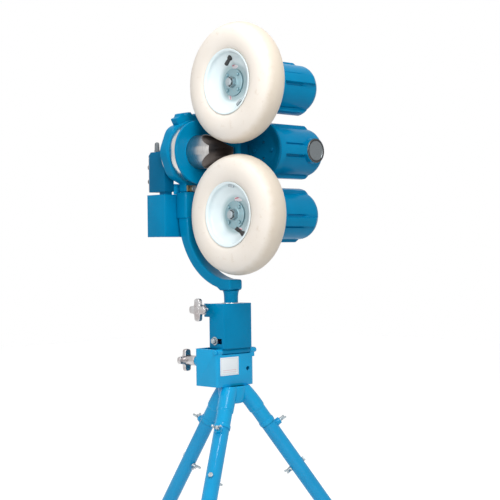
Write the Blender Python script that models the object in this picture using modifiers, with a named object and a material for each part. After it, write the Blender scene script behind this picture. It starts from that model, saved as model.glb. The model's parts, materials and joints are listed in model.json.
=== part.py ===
"""Two-wheel cricket bowling machine on a tripod, as separate solids.

Metres, +Z up. The ball leaves toward -Y. The floor is Z = 0, and the origin lies on the
floor under the middle of the object's box. The wheels' open faces look toward -X.
"""
import math

import bmesh
import bpy
from mathutils import Matrix, Vector

# Driving sizes, in metres
GAP = 0.0003                   # running or seating gap between two touching pieces
BALL_AXIS_HEIGHT = 1.400       # release height above the floor
SETBACK = 0.038                # the column stands this far behind the line between the wheels

TYRE_RADIUS = 0.203            # 16 in outside diameter
TYRE_WIDTH = 0.107
TYRE_WALL = 0.010
BALL_GAP = 0.035               # clear space between the two treads
RIM_RADIUS = 0.109             # over the rolled bead
RIM_SEAT = 0.1016              # 8 in bead seat
RIM_WIDTH = 0.090
RIM_METAL = 0.003
HUB_PLANE = -0.010             # X of the rim's disc
VALVE_X = -0.017
HUB_RADIUS = 0.046
AXLE_RADIUS = 0.0127           # 1 in shaft
AXLE_TIP = -0.033

FRAME_X = 0.066                # near face of the head frame plate
FRAME_THICK = 0.010
FRAME_HALF_WIDTH = 0.075
MOTOR_RADIUS = 0.072
MOTOR_BELL_RADIUS = 0.062
MOTOR_LENGTH = 0.179
MOTOR_SHELL = 0.005
ROTOR_RADIUS = 0.044
END_WALL = 0.010               # the motor's end plates, with their bearings
FLANGE_X = 0.112               # where the motor flanges start
FLANGE_THICK = 0.0057
DISH_X = 0.124                 # flat of the dished plate in the middle cover's mouth
DISH_THICK = 0.006
COVER_RADIUS = 0.083           # smooth body of a motor cover
LUG_RADIUS = 0.094             # over the mouth band and the four raised lugs
COVER_SHELL = 0.005
COVER_LENGTH = 0.222
MIDDLE_COVER_LENGTH = 0.248
COVER_DOME = 0.047
COVER_BAND = 0.024
LUG_COUNT = 4
LUG_WIDTH = 0.031
LUG_STOP = 0.042               # the lugs start to slope this far before the cover's end
LUG_SLOPE = 0.024
COVER_TURN = 16                # degrees that the outer covers are turned on their motors
BADGE_RADIUS = 0.044
BADGE_X = 0.283
BADGE_THICK = 0.002

CHUTE_RADIUS = 0.058
CHUTE_WALL = 0.002
CHUTE_TIP = 0.078              # behind the line between the wheels
MOUTH_CLEARANCE = 0.019        # fish-mouth cut, outside the tread
THROAT_FRONT = 0.183
THROAT_RADIUS = 0.110
THROAT_THICK = 0.010
THROAT_SHEET = 0.0025          # the flange is dished forward to its rim
SLEEVE_RADIUS = 0.103
SLEEVE_LENGTH = 0.034
JOURNAL_RADIUS = 0.090
RING_RADIUS = 0.112
RING_LENGTH = 0.038
TOOTH_ROOT = 0.134              # toothed lug on the ring, to the foot and the tip of its teeth
TOOTH_TIP = 0.142
RETAINER_THICK = 0.008

ARM_WIDTH = 0.058
ARM_PAD_TOP = -0.135           # below the ball axis
ARM_INNER = (0.2205, 0.230)    # radius about the lower wheel, at the bottom and at the top
ARM_OUTER = (0.2555, 0.272)
ARM_BOTTOM = -0.437
NECK_RADIUS = 0.0235
NECK_TOP = -0.474
NECK_END = -0.622
CLAMP_BOLT_Z = -0.124          # on the boss under the roll ring

BOX_FRONT = 0.238              # behind the column
BOX_SHELL = 0.0025
SUPPLY_WIDTH = 0.168
SUPPLY_DEPTH = 0.093
SUPPLY_TOP = -0.143
SUPPLY_HEIGHT = 0.147
CONTROL_INNER = -0.042         # X of the side that faces the feed mouth
CONTROL_DEPTH = 0.085
CONTROL_TOP = 0.006
BOX_SPACE = 0.009              # air between the two boxes
SWITCH_Y = 0.302
DIAL_RADIUS = 0.013
DIAL_HEIGHTS = (-0.045, -0.095)

HOUSING_WIDTH = 0.126
HOUSING_FRONT = -0.032         # from the column axis
HOUSING_BACK = 0.041
HOUSING_TOP = -0.517
HOUSING_BOTTOM = -0.667
HOUSING_WALL = 0.005
EAR_BACK = 0.066
BUSH_RADIUS = 0.030
BUSH_LOWER = -0.606            # middle of the lower bush
BOLT_Y = 0.013
BOLT_Z = -0.641
BOLT_STACK = ((0.0, 0.014, 0.0025, 16), (0.0020, 0.0105, 0.010, 6))
TILT_WIDTH = 0.174
TILT_CORNER = 0.026             # the wide round corner
TILT_FRONT = -0.023
TILT_BACK = 0.089
TILT_HEIGHT = 0.125
TILT_WALL = 0.005
HINGE_RADIUS = 0.009           # knuckles of the tilt hinge
HINGE_PIN_RADIUS = 0.005

KNOB_Y = 0.053
KNOB_Z = -0.537
TILT_KNOB_X = -0.060
TILT_KNOB_Z = -0.712
KNOB_OUTLINE = ((-19, 0.0365), (-14, 0.0375), (14, 0.0375), (19, 0.0365), (45, 0.0195))
KNOB_THICK = 0.016
LEG_SPLAY = math.radians(35)
LEG_RADIUS = 0.0254            # 2 in tube
LEG_WALL = 0.0030
LEG_BORE = LEG_RADIUS - LEG_WALL
LEG_LENGTH = 0.430
LEG_DIRECTIONS = (90, -30, 210)
SCREW_DROP = -0.018
LEG_BOLT_DROP = -0.176
LEG_TOP_Z = -0.924
LEG_TOP_OUT = 0.122
ELBOW_RISE = 0.099              # along the leg, from its top to the bend of the hub's arm
ARM_SOCKET = 0.066              # the hub's arm is thicker down to here
HUB_ARM_RADIUS = 0.0285
FOOT_RADIUS = 0.031
FOOT_HEIGHT = 0.0285           # centre of the ball foot above the floor

SEGMENTS = 20
WHEEL_SEGMENTS = 24            # rim and tyre meet facet to facet
THROAT_SEGMENTS = 30
RING_SEGMENTS = 45             # the ring's bore clears the journal at any roll
NECK_SEGMENTS = 24
LEG_SEGMENTS = 18
WHEEL_CENTRE = TYRE_RADIUS + BALL_GAP / 2
FOOT_CIRCLE = LEG_TOP_OUT + (BALL_AXIS_HEIGHT + LEG_TOP_Z - FOOT_HEIGHT) * math.tan(LEG_SPLAY)
COLUMN_Y = -FOOT_CIRCLE / 4    # three feet on a circle: one behind, two in front

# Finishes: colour, roughness, metallic
BLUE_PAINT = ((0.0, 0.222, 0.485), 0.32, 0.0)
WHITE_RUBBER = ((0.88, 0.82, 0.74), 0.62, 0.0)
WHITE_ENAMEL = ((0.82, 0.90, 0.92), 0.22, 0.0)
STAINLESS = ((0.62, 0.61, 0.60), 0.24, 1.0)
ALUMINIUM = ((0.72, 0.72, 0.71), 0.30, 1.0)
ZINC_STEEL = ((0.55, 0.57, 0.58), 0.34, 1.0)
BLACK_PLASTIC = ((0.02, 0.02, 0.022), 0.45, 0.0)
GREY_RUBBER = ((0.22, 0.22, 0.23), 0.70, 0.0)
BLACK_RUBBER = ((0.03, 0.03, 0.03), 0.75, 0.0)
WHITE_LABEL = ((0.88, 0.89, 0.90), 0.40, 0.0)

TURN_AXIS = {
    "X": (0.0, math.radians(90), 0.0),
    "-X": (0.0, math.radians(-90), 0.0),
    "Y": (math.radians(-90), 0.0, 0.0),
    "-Y": (math.radians(90), 0.0, 0.0),
    "Z": (0.0, 0.0, 0.0),
}
FLAT_PLANE = {
    "YZ": Matrix(((0, 0, 1), (1, 0, 0), (0, 1, 0))).to_euler(),
    "XZ": (math.radians(90), 0.0, 0.0),
    "XY": (0.0, 0.0, 0.0),
}


def clear_scene():
    for thing in list(bpy.data.objects):
        bpy.data.objects.remove(thing, do_unlink=True)


def new_collection(name):
    group = bpy.data.collections.new(name)
    bpy.context.scene.collection.children.link(group)
    return group


def paint(obj, finish):
    colour, roughness, metallic = finish
    skin = bpy.data.materials.new(obj.name + "_finish")
    skin.use_nodes = True
    shader = skin.node_tree.nodes["Principled BSDF"]
    shader.inputs["Base Color"].default_value = (*colour, 1.0)
    shader.inputs["Roughness"].default_value = roughness
    shader.inputs["Metallic"].default_value = metallic
    skin.diffuse_color = (*colour, 1.0)
    obj.data.materials.clear()
    obj.data.materials.append(skin)
    return obj


def put(name, data, parent, place, turn, group=None):
    obj = bpy.data.objects.new(name, data)
    (group or PARTS).objects.link(obj)
    obj.parent = parent
    obj.location = place
    obj.rotation_euler = turn
    return obj


def empty(name, place, parent=None, turn=(0.0, 0.0, 0.0)):
    obj = put(name, None, parent, place, turn)
    obj.empty_display_size = 0.05
    return obj


def arc(centre, radius, start, stop, steps):
    """Points on an arc, angles in degrees, both ends included."""
    points = []
    for i in range(steps + 1):
        angle = math.radians(start + (stop - start) * i / steps)
        points.append((centre[0] + radius * math.cos(angle), centre[1] + radius * math.sin(angle)))
    return points


def signed_area(points):
    total = 0.0
    for (x0, y0), (x1, y1) in zip(points, points[1:] + points[:1]):
        total += x0 * y1 - x1 * y0
    return total / 2


def turned(name, profile, axis, parent, place=(0, 0, 0), closed=True, segments=SEGMENTS, group=None):
    """Spins a profile of (radius, distance along the axis). An open one starts and ends on the axis."""
    if signed_area(profile) > 0:
        profile = profile[::-1]
    count = len(profile)
    edges = [(i, i + 1) for i in range(count - 1)]
    if closed:
        edges.append((count - 1, 0))
    mesh = bpy.data.meshes.new(name)
    mesh.from_pydata([(r, 0.0, h) for r, h in profile], edges, [])
    obj = put(name, mesh, parent, place, TURN_AXIS[axis], group)
    screw = obj.modifiers.new("spin", "SCREW")
    screw.axis = "Z"
    screw.angle = math.radians(360)
    screw.steps = segments
    screw.render_steps = segments
    screw.use_merge_vertices = True
    screw.merge_threshold = 0.00001
    return obj


def rod(name, radius, start, stop, axis, parent, place=(0, 0, 0), segments=SEGMENTS, group=None):
    """A plain cylinder along an axis, from start to stop."""
    profile = [(0.0, stop), (radius, stop), (radius, start), (0.0, start)]
    return turned(name, profile, axis, parent, place, False, segments, group)


def pipe(name, outer, inner, start, stop, axis, parent, place=(0, 0, 0), segments=SEGMENTS, group=None):
    profile = [(outer, stop), (outer, start), (inner, start), (inner, stop)]
    return turned(name, profile, axis, parent, place, True, segments, group)


def block(name, low, high, parent, bevel=0.0, steps=2, group=None):
    """A box between two corners, with its edges rounded."""
    mesh = bpy.data.meshes.new(name)
    bm = bmesh.new()
    bmesh.ops.create_cube(bm, size=1.0)
    size = [b - a for a, b in zip(low, high)]
    bmesh.ops.scale(bm, vec=size, verts=bm.verts)
    bm.to_mesh(mesh)
    bm.free()
    middle = [(a + b) / 2 for a, b in zip(low, high)]
    obj = put(name, mesh, parent, middle, (0, 0, 0), group)
    if bevel:
        round_edges(obj, bevel, steps)
    return obj


def round_edges(obj, width, steps=2, angle=40):
    bevel = obj.modifiers.new("edges", "BEVEL")
    bevel.width = width
    bevel.segments = steps
    bevel.limit_method = "ANGLE"
    bevel.angle_limit = math.radians(angle)
    return bevel


def plate(name, outline, low, high, plane, parent, group=None):
    """A flat outline made solid between two distances along its normal."""
    curve = bpy.data.curves.new(name, "CURVE")
    curve.dimensions = "2D"
    curve.fill_mode = "BOTH"
    curve.extrude = (high - low) / 2
    spline = curve.splines.new("POLY")
    spline.points.add(len(outline) - 1)
    for point, (x, y) in zip(spline.points, outline):
        point.co = (x, y, 0.0, 1.0)
    spline.use_cyclic_u = True
    shift = (low + high) / 2
    place = {"YZ": (shift, 0, 0), "XZ": (0, -shift, 0), "XY": (0, 0, shift)}[plane]
    obj = put(name, curve, parent, place, FLAT_PLANE[plane], group)
    return as_mesh(obj)


def as_mesh(obj):
    """Turns a curve object into a closed mesh of the same name and place."""
    bpy.context.view_layer.update()
    graph = bpy.context.evaluated_depsgraph_get()
    mesh = bpy.data.meshes.new_from_object(obj.evaluated_get(graph))
    bm = bmesh.new()
    bm.from_mesh(mesh)
    bmesh.ops.remove_doubles(bm, verts=bm.verts, dist=0.00001)
    bmesh.ops.recalc_face_normals(bm, faces=bm.faces)
    bm.to_mesh(mesh)
    bm.free()
    name = obj.name
    parent = obj.parent
    place = obj.location.copy()
    turn = obj.rotation_euler.copy()
    group = obj.users_collection[0]
    bpy.data.objects.remove(obj, do_unlink=True)
    mesh.name = name
    return put(name, mesh, parent, place, turn, group)


def combine(obj, tool, operation):
    step = obj.modifiers.new(operation.lower(), "BOOLEAN")
    step.operation = operation
    step.solver = "EXACT"
    step.object = tool
    tool.hide_render = True
    tool.display_type = "WIRE"
    for group in list(tool.users_collection):
        group.objects.unlink(tool)
    TOOLS.objects.link(tool)
    return obj


def cut(obj, *tools):
    for tool in tools:
        combine(obj, tool, "DIFFERENCE")
    return obj


def fuse(obj, *tools):
    for tool in tools:
        combine(obj, tool, "UNION")
    return obj


def settle():
    """Turns every part into a plain mesh, smooth with sharp edges kept."""
    bpy.context.view_layer.update()
    graph = bpy.context.evaluated_depsgraph_get()
    solids = [obj for obj in PARTS.objects if obj.type == "MESH"]
    made = {}
    for obj in solids:
        made[obj.name] = bpy.data.meshes.new_from_object(obj.evaluated_get(graph))
    for obj in solids:
        obj.modifiers.clear()
        obj.data = made[obj.name]
        obj.data.name = obj.name
        obj.data.shade_smooth()
        obj.data.set_sharp_from_angle(angle=math.radians(35))


clear_scene()
PARTS = new_collection("cricket_bowling_machine")
TOOLS = new_collection("cutters")

# Frames on the joint axes
STAND = empty("stand_frame", (0, COLUMN_Y, BALL_AXIS_HEIGHT))
HINGE_Y = TILT_FRONT + HINGE_RADIUS - 0.002
HINGE_Z = HOUSING_BOTTOM - HINGE_RADIUS - 0.001
TILT = empty("tilt_axis", (0, HINGE_Y, HINGE_Z), STAND)
HOUSING = empty("housing_frame", -TILT.location, TILT)
COLUMN = empty("swivel_axis", (0, 0, 0), HOUSING)
HEAD = empty("roll_axis", (0, -SETBACK, 0), COLUMN)
UPPER = empty("upper_wheel_axis", (0, 0, WHEEL_CENTRE), HEAD)
LOWER = empty("lower_wheel_axis", (0, 0, -WHEEL_CENTRE), HEAD)


def mirrored(half):
    """A half profile from the side to the middle, and back on the other side."""
    middle = [half[-1]] if half[-1][1] == 0 else []
    side = half[:-1] if middle else half
    return side + middle + [(r, -x) for r, x in reversed(side)]


def tyre(name, axle):
    half_width = TYRE_WIDTH / 2
    seat = RIM_SEAT + GAP
    lip = RIM_WIDTH / 2 - RIM_METAL - GAP * 2
    rise = TYRE_RADIUS - RIM_RADIUS
    outside = [
        (seat, lip),
        (RIM_RADIUS, lip),
        (RIM_RADIUS + rise * 0.07, half_width * 0.89),
        (RIM_RADIUS + rise * 0.50, half_width),
        (RIM_RADIUS + rise * 0.86, half_width * 0.89),
        (RIM_RADIUS + rise * 0.965, half_width * 0.58),
        (TYRE_RADIUS, 0),
    ]
    inside = [
        (seat, lip - TYRE_WALL),
        (RIM_RADIUS + rise * 0.70, half_width - TYRE_WALL * 1.3),
        (TYRE_RADIUS - TYRE_WALL, half_width * 0.35),
    ]
    profile = mirrored(outside) + mirrored(inside)[::-1]
    paint(turned(name, profile, "X", axle, segments=WHEEL_SEGMENTS), WHITE_RUBBER)


def valve(name, axle, degrees):
    """A short stem with its cap, pointing inward from the rim's well."""
    angle = math.radians(degrees)
    reach = RIM_SEAT * 0.85 - RIM_METAL / 2
    profile = [
        (0, 0), (0.0055, 0), (0.0055, 0.005), (0.0038, 0.007), (0.0038, 0.018),
        (0.0050, 0.018), (0.0050, 0.028), (0, 0.028),
    ]
    stem = turned(name, profile, "Z", axle, closed=False, segments=12)
    stem.location = (VALVE_X, reach * math.cos(angle), reach * math.sin(angle))
    stem.rotation_euler = (angle + math.radians(90), 0, 0)
    return stem


def rim(name, axle, valve_degrees):
    """A pressed rim with rolled beads and a dropped middle, and a disc set deep inside it."""
    edge = RIM_WIDTH / 2
    lip = edge - RIM_METAL
    well = RIM_SEAT * 0.85
    inner = RIM_SEAT - RIM_METAL
    outside = [
        (RIM_RADIUS, edge), (RIM_RADIUS, lip), (RIM_SEAT, lip), (RIM_SEAT, edge * 0.56), (well, edge * 0.38)
    ]
    bead = [(inner, edge), (inner, edge * 0.60), (well - RIM_METAL, edge * 0.41)]
    disc = [
        (well - RIM_METAL, HUB_PLANE + RIM_METAL),
        (HUB_RADIUS * 0.45, HUB_PLANE + RIM_METAL),
        (HUB_RADIUS * 0.45, HUB_PLANE),
        (well - RIM_METAL, HUB_PLANE),
    ]
    back = [(r, -x) for r, x in reversed(bead)]
    front = [(r, -x) for r, x in outside]
    profile = outside + front[::-1] + back[::-1] + disc[::-1] + bead[::-1]
    body = turned(name, profile, "X", axle, segments=WHEEL_SEGMENTS)
    paint(fuse(body, valve(name + "_valve", axle, valve_degrees)), WHITE_ENAMEL)


def hub(name, axle):
    """A zinc hub: a flange on the disc, a nose in front and a barrel behind."""
    bore = AXLE_RADIUS + GAP
    face = HUB_PLANE - GAP
    profile = [
        (bore, AXLE_TIP + 0.014),
        (HUB_RADIUS * 0.50, AXLE_TIP + 0.014),
        (HUB_RADIUS * 0.56, face - 0.008),
        (HUB_RADIUS, face - 0.006),
        (HUB_RADIUS, face),
        (HUB_RADIUS * 0.45 - GAP, face),
        (HUB_RADIUS * 0.45 - GAP, HUB_PLANE + 0.030),
        (bore, HUB_PLANE + 0.030),
    ]
    body = turned(name, profile, "X", axle, segments=18)
    for i in range(4):
        angle = math.radians(45 + 90 * i)
        spot = (0, HUB_RADIUS * 0.78 * math.cos(angle), HUB_RADIUS * 0.78 * math.sin(angle))
        fuse(body, rod(name + "_nut", 0.0065, face - 0.012, face - 0.005, "X", axle, spot, 6))
    paint(body, ZINC_STEEL)


def axle_shaft(name, axle):
    """The motor shaft, which carries the hub on its end under a nut."""
    stop = FRAME_X + FRAME_THICK + MOTOR_LENGTH
    body = rod(name, AXLE_RADIUS, AXLE_TIP - 0.004, stop, "X", axle, segments=18)
    nut_stop = AXLE_TIP + 0.014 - GAP
    paint(
        fuse(body, rod(name + "_nut", 0.019, nut_stop - 0.012, nut_stop, "X", axle, segments=6)), ZINC_STEEL
    )


def motor(name, height):
    """The motor's case: a bell on the frame, a flange for the cover and a can with two end plates."""
    start = FRAME_X + FRAME_THICK + GAP
    stop = start + MOTOR_LENGTH - 0.003
    bore = AXLE_RADIUS + GAP
    hollow = MOTOR_RADIUS - MOTOR_SHELL
    bell = MOTOR_BELL_RADIUS - MOTOR_SHELL
    flange_back = FLANGE_X + FLANGE_THICK
    front_wall = start + END_WALL
    back_wall = stop - END_WALL
    profile = [
        (bore, start), (MOTOR_BELL_RADIUS, start), (MOTOR_BELL_RADIUS, FLANGE_X),
        (LUG_RADIUS, FLANGE_X), (LUG_RADIUS, flange_back),
        (MOTOR_RADIUS, flange_back), (MOTOR_RADIUS, stop), (bore, stop),
        (bore, back_wall), (hollow, back_wall), (hollow, flange_back),
        (bell, flange_back), (bell, front_wall), (bore, front_wall),
    ]
    paint(turned(name, profile, "X", HEAD, (0, 0, height)), BLACK_PLASTIC)


def rotor(name, axle):
    start = FLANGE_X + 0.008
    stop = start + MOTOR_LENGTH * 0.60
    core = AXLE_RADIUS + GAP
    profile = [
        (core, start - 0.006), (ROTOR_RADIUS * 0.5, start - 0.006), (ROTOR_RADIUS * 0.5, start),
        (ROTOR_RADIUS, start), (ROTOR_RADIUS, stop), (core, stop),
    ]
    paint(turned(name, profile, "X", axle, segments=16), ZINC_STEEL)


def dome(radius, tail, depth, steps):
    """The rounded end of a cover, from its side to its axis."""
    points = []
    for i in range(steps + 1):
        angle = math.radians(90 * i / steps)
        points.append((radius * math.cos(angle), tail + depth * math.sin(angle)))
    points[-1] = (0.0, tail + depth)
    return points


def cover_surface(x, tail):
    """Outer radius of a cover at a distance along its axis."""
    past = max(0.0, (x - tail) / COVER_DOME)
    return COVER_RADIUS * math.sqrt(1.0 - past * past)


def motor_cover(name, height, length, degrees):
    """A domed can with a band round its mouth and four raised lugs that slope into the dome."""
    start = FLANGE_X + FLANGE_THICK + GAP
    tail = start + length - COVER_DOME
    inner = COVER_RADIUS - COVER_SHELL
    band = start + COVER_BAND
    profile = dome(inner, tail, COVER_DOME - COVER_SHELL, 3)[::-1]
    profile += [(inner, start), (LUG_RADIUS, start), (LUG_RADIUS, band), (COVER_RADIUS, band + 0.004)]
    profile += dome(COVER_RADIUS, tail, COVER_DOME, 5)
    cover = turned(name, profile, "X", HEAD, (0, 0, height), closed=False)
    return fuse(cover, lugs(name + "_lugs", height, start, start + length, degrees))


def lugs(name, height, start, end, degrees):
    """Four flat-topped lugs from the band to the dome, each with a sloped end."""
    tail = end - COVER_DOME
    sink = COVER_SHELL * 0.8
    far = end - LUG_STOP
    outline = [(start + 0.0025, LUG_RADIUS), (far, LUG_RADIUS)]
    for share in (1.0, 0.6, 0.2):
        x = far + LUG_SLOPE * share
        outline.append((x, cover_surface(x, tail) - sink))
    outline += [(tail, COVER_RADIUS - sink), (start + 0.0025, COVER_RADIUS - sink)]
    joined = bmesh.new()
    for i in range(LUG_COUNT):
        turn = Matrix.Rotation(math.radians(degrees + 360 * i / LUG_COUNT), 4, "X")
        ends = []
        for side in (-LUG_WIDTH / 2, LUG_WIDTH / 2):
            ends.append([joined.verts.new(turn @ Vector((x, side, z))) for x, z in outline])
        joined.faces.new(ends[0])
        joined.faces.new(ends[1][::-1])
        for k in range(len(outline)):
            after = (k + 1) % len(outline)
            joined.faces.new((ends[0][after], ends[0][k], ends[1][k], ends[1][after]))
    bmesh.ops.recalc_face_normals(joined, faces=joined.faces)
    mesh = bpy.data.meshes.new(name)
    joined.to_mesh(mesh)
    joined.free()
    return put(name, mesh, HEAD, (0, 0, height), (0, 0, 0))


def head_frame(name):
    """The cast C-shaped plate behind the wheels: it carries both motors and reaches back to the throat."""
    half = FRAME_HALF_WIDTH
    back = THROAT_FRONT - GAP
    spine = half * 0.78
    outline = [(back, -THROAT_RADIUS * 0.62), (back, THROAT_RADIUS * 0.62), (half * 1.7, THROAT_RADIUS * 1.1)]
    outline += arc((0, WHEEL_CENTRE), half, 0, 270, 14)
    outline += [(spine, WHEEL_CENTRE * 0.45), (spine, -WHEEL_CENTRE * 0.45)]
    outline += arc((0, -WHEEL_CENTRE), half, 90, 360, 14)
    outline += [(half * 1.7, -THROAT_RADIUS * 1.1)]
    body = plate(name, outline, FRAME_X, FRAME_X + FRAME_THICK, "YZ", HEAD)
    for height in (WHEEL_CENTRE, -WHEEL_CENTRE):
        cut(body, rod(name + "_shaft_hole", AXLE_RADIUS * 1.7, 0, 0.2, "X", HEAD, (0, 0, height), 24))
    paint(body, BLUE_PAINT)


def middle_dish(name):
    """A dished plate that closes the middle cover, with an arm to the frame's spine."""
    plug = COVER_RADIUS - COVER_SHELL - GAP
    back = FLANGE_X + FLANGE_THICK
    profile = [
        (0, DISH_X), (0.062, DISH_X), (0.087, FLANGE_X), (LUG_RADIUS, FLANGE_X), (LUG_RADIUS, back),
        (plug, back), (plug, DISH_X + DISH_THICK), (0, DISH_X + DISH_THICK),
    ]
    body = turned(name, profile, "X", HEAD, closed=False)
    near = FRAME_HALF_WIDTH * 0.78 + 0.004
    low = (FRAME_X + FRAME_THICK + GAP, near, -0.035)
    fuse(body, block(name + "_arm", low, (FLANGE_X + FLANGE_THICK * 0.7, near + 0.026, 0.035), HEAD))
    for height in (0.028, -0.028):
        cut(body, rod(name + "_hole", 0.005, 0.05, 0.2, "X", HEAD, (0, 0, height), 12))
    for side in (-0.041, 0.041):
        fuse(body, rod(name + "_bolt", 0.0075, -DISH_X - 0.001, 0.006 - DISH_X, "-X", HEAD, (0, side, 0), 6))
    paint(body, BLUE_PAINT)


def speed_controller(name):
    """The finned block that feeds the motors, seated on the dish inside the middle cover."""
    seat = DISH_X + DISH_THICK + GAP
    body = block(name, (seat, -0.045, -0.050), (seat + 0.100, 0.045, 0.050), HEAD)
    for i in range(4):
        side = -0.0335 + i * 0.0195
        slot = block(name + "_slot", (seat + 0.012, side, 0.038), (seat + 0.110, side + 0.009, 0.060), HEAD)
        cut(body, slot)
    paint(body, ALUMINIUM)


def badge_pad(name, cover):
    """A round flat pad cast on the side of the middle cover, with a plain plate on it."""
    face = LUG_RADIUS + 0.0005
    pad = rod(name + "_pad", BADGE_RADIUS, COVER_RADIUS * 0.72, face, "-Y", HEAD, (BADGE_X, 0, 0), 32)
    fuse(cover, pad)
    start = face + GAP
    disc = rod(name, BADGE_RADIUS - 0.002, start, start + BADGE_THICK, "-Y", HEAD, (BADGE_X, 0, 0), 32)
    paint(disc, BLACK_PLASTIC)


def throat():
    """Flange, stainless chute, machined sleeve and the retainer that holds them in the ring."""
    front = THROAT_FRONT
    ring_front = front + THROAT_THICK + GAP + SLEEVE_LENGTH + GAP
    ring_back = ring_front + RING_LENGTH
    sleeve_front = front + THROAT_THICK + GAP
    journal = JOURNAL_RADIUS - GAP
    bore = CHUTE_RADIUS + GAP
    floor = front + THROAT_THICK - THROAT_SHEET
    profile = [
        (THROAT_RADIUS, front), (THROAT_RADIUS, front + THROAT_THICK), (bore, front + THROAT_THICK),
        (bore, floor), (bore + 0.008, floor), (THROAT_RADIUS - 0.0045, front),
    ]
    paint(turned("throat_flange", profile, "Y", HEAD, segments=THROAT_SEGMENTS), BLUE_PAINT)
    end = ring_back + GAP + RETAINER_THICK
    profile = [
        (bore, sleeve_front), (SLEEVE_RADIUS, sleeve_front), (SLEEVE_RADIUS, ring_front - GAP),
        (journal, ring_front - GAP), (journal, end), (bore, end),
    ]
    paint(turned("throat_sleeve", profile, "Y", HEAD, segments=THROAT_SEGMENTS), ALUMINIUM)
    retainer = pipe(
        "throat_retainer", SLEEVE_RADIUS, JOURNAL_RADIUS, ring_back + GAP, end, "Y", HEAD,
        segments=THROAT_SEGMENTS,
    )
    paint(retainer, ALUMINIUM)
    chute = pipe(
        "ball_chute", CHUTE_RADIUS, CHUTE_RADIUS - CHUTE_WALL, CHUTE_TIP, end, "Y", HEAD,
        segments=THROAT_SEGMENTS,
    )
    for height in (WHEEL_CENTRE, -WHEEL_CENTRE):
        mouth = rod(
            "fish_mouth", TYRE_RADIUS + MOUTH_CLEARANCE, -CHUTE_RADIUS * 1.2, CHUTE_RADIUS * 1.2,
            "X", HEAD, (0, 0, height), 56,
        )
        cut(chute, mouth)
    paint(chute, STAINLESS)
    return ring_front, ring_back


def wheel(prefix, axle, valve_degrees):
    tyre(prefix + "_tyre", axle)
    rim(prefix + "_rim", axle, valve_degrees)
    hub(prefix + "_hub", axle)
    axle_shaft(prefix + "_axle", axle)
    rotor(prefix + "_rotor", axle)


def head():
    wheel("upper", UPPER, 60)
    wheel("lower", LOWER, -75)
    head_frame("head_frame")
    motor("upper_motor", WHEEL_CENTRE)
    motor("lower_motor", -WHEEL_CENTRE)
    paint(motor_cover("upper_motor_cover", WHEEL_CENTRE, COVER_LENGTH, -COVER_TURN), BLUE_PAINT)
    paint(motor_cover("lower_motor_cover", -WHEEL_CENTRE, COVER_LENGTH, COVER_TURN), BLUE_PAINT)
    middle = motor_cover("middle_cover", 0, MIDDLE_COVER_LENGTH, 0)
    badge_pad("badge_plate", middle)
    paint(middle, BLUE_PAINT)
    middle_dish("middle_dish")
    speed_controller("speed_controller")


def sweep(radii, start, stop, steps):
    """Points about the lower wheel whose radius grows from the first value to the second."""
    points = []
    for i in range(steps + 1):
        share = i / steps
        angle = math.radians(start + (stop - start) * share)
        radius = radii[0] + (radii[1] - radii[0]) * share
        points.append((radius * math.cos(angle) - SETBACK, radius * math.sin(angle) - WHEEL_CENTRE))
    return points


def roll_ring(name, front, back):
    """The fixed ring the head rolls in, with a toothed lug on top and a boss on the arm."""
    ring = pipe(name, RING_RADIUS, JOURNAL_RADIUS, front, back, "Y", COLUMN, segments=RING_SEGMENTS)
    low = RING_RADIUS - 0.010
    outline = arc((0, 0), low, 64, 120, 4)
    corners = [(120, TOOTH_ROOT)]
    for middle in (107, 92, 77):
        corners += [(middle + 5, TOOTH_ROOT), (middle + 3, TOOTH_TIP)]
        corners += [(middle - 3, TOOTH_TIP), (middle - 5, TOOTH_ROOT)]
    for degrees, radius in corners + [(64, TOOTH_ROOT)]:
        outline.append((radius * math.cos(math.radians(degrees)), radius * math.sin(math.radians(degrees))))
    fuse(ring, plate(name + "_lug", outline, 0.004 - back, -0.004 - front, "XZ", COLUMN))
    boss = block(
        name + "_boss", (-ARM_WIDTH / 2, front + 0.001, ARM_PAD_TOP + GAP),
        (ARM_WIDTH / 2, back - 0.001, -low), COLUMN
    )
    fuse(ring, boss)
    hole = rod(
        name + "_bolt_hole", 0.0043, front - 0.010, front + 0.026, "Y", COLUMN, (0, 0, CLAMP_BOLT_Z), 16
    )
    paint(cut(ring, hole), BLUE_PAINT)


def clamp_bolt(name, front):
    """The bolt in the ring's boss, with its small square washer."""
    start = -(front + 0.001 - GAP)
    body = rod(name, 0.004, start - 0.022, start + 0.004, "-Y", COLUMN, (0, 0, CLAMP_BOLT_Z), 16)
    washer = block(
        name + "_washer", (-0.011, -start - 0.0025, CLAMP_BOLT_Z - 0.011),
        (0.011, -start, CLAMP_BOLT_Z + 0.009), COLUMN
    )
    fuse(body, washer, rod(
        name + "_head", 0.0085, start + 0.002, start + 0.009, "-Y", COLUMN, (0, 0, CLAMP_BOLT_Z), 6
    ))
    paint(body, ZINC_STEEL)


def yoke_arm(name):
    """The cast C-arm that carries the head from behind, down and forward to the column."""
    pad_front = 0.186
    pad_back = BOX_FRONT - GAP
    pad_bottom = ARM_PAD_TOP - 0.092
    outline = [(pad_back - 0.004, ARM_PAD_TOP), (pad_front, ARM_PAD_TOP), (pad_front, pad_bottom)]
    outline += sweep(ARM_INNER[::-1], -21, -77, 9)
    outline += [(-0.026, ARM_BOTTOM), (-0.026, NECK_TOP), (0.026, NECK_TOP)]
    outline += sweep(ARM_OUTER, -72, -1, 11)
    half = ARM_WIDTH / 2
    arm = plate(name, outline, -half, half, "YZ", COLUMN)
    pad = block(
        name + "_pad", (-half - 0.005, pad_front - 0.002, pad_bottom),
        (half + 0.005, pad_back, ARM_PAD_TOP - 0.0002),
        COLUMN, 0.005,
    )
    fuse(arm, pad)
    round_edges(arm, 0.0035, 1)
    paint(arm, BLUE_PAINT)


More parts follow.
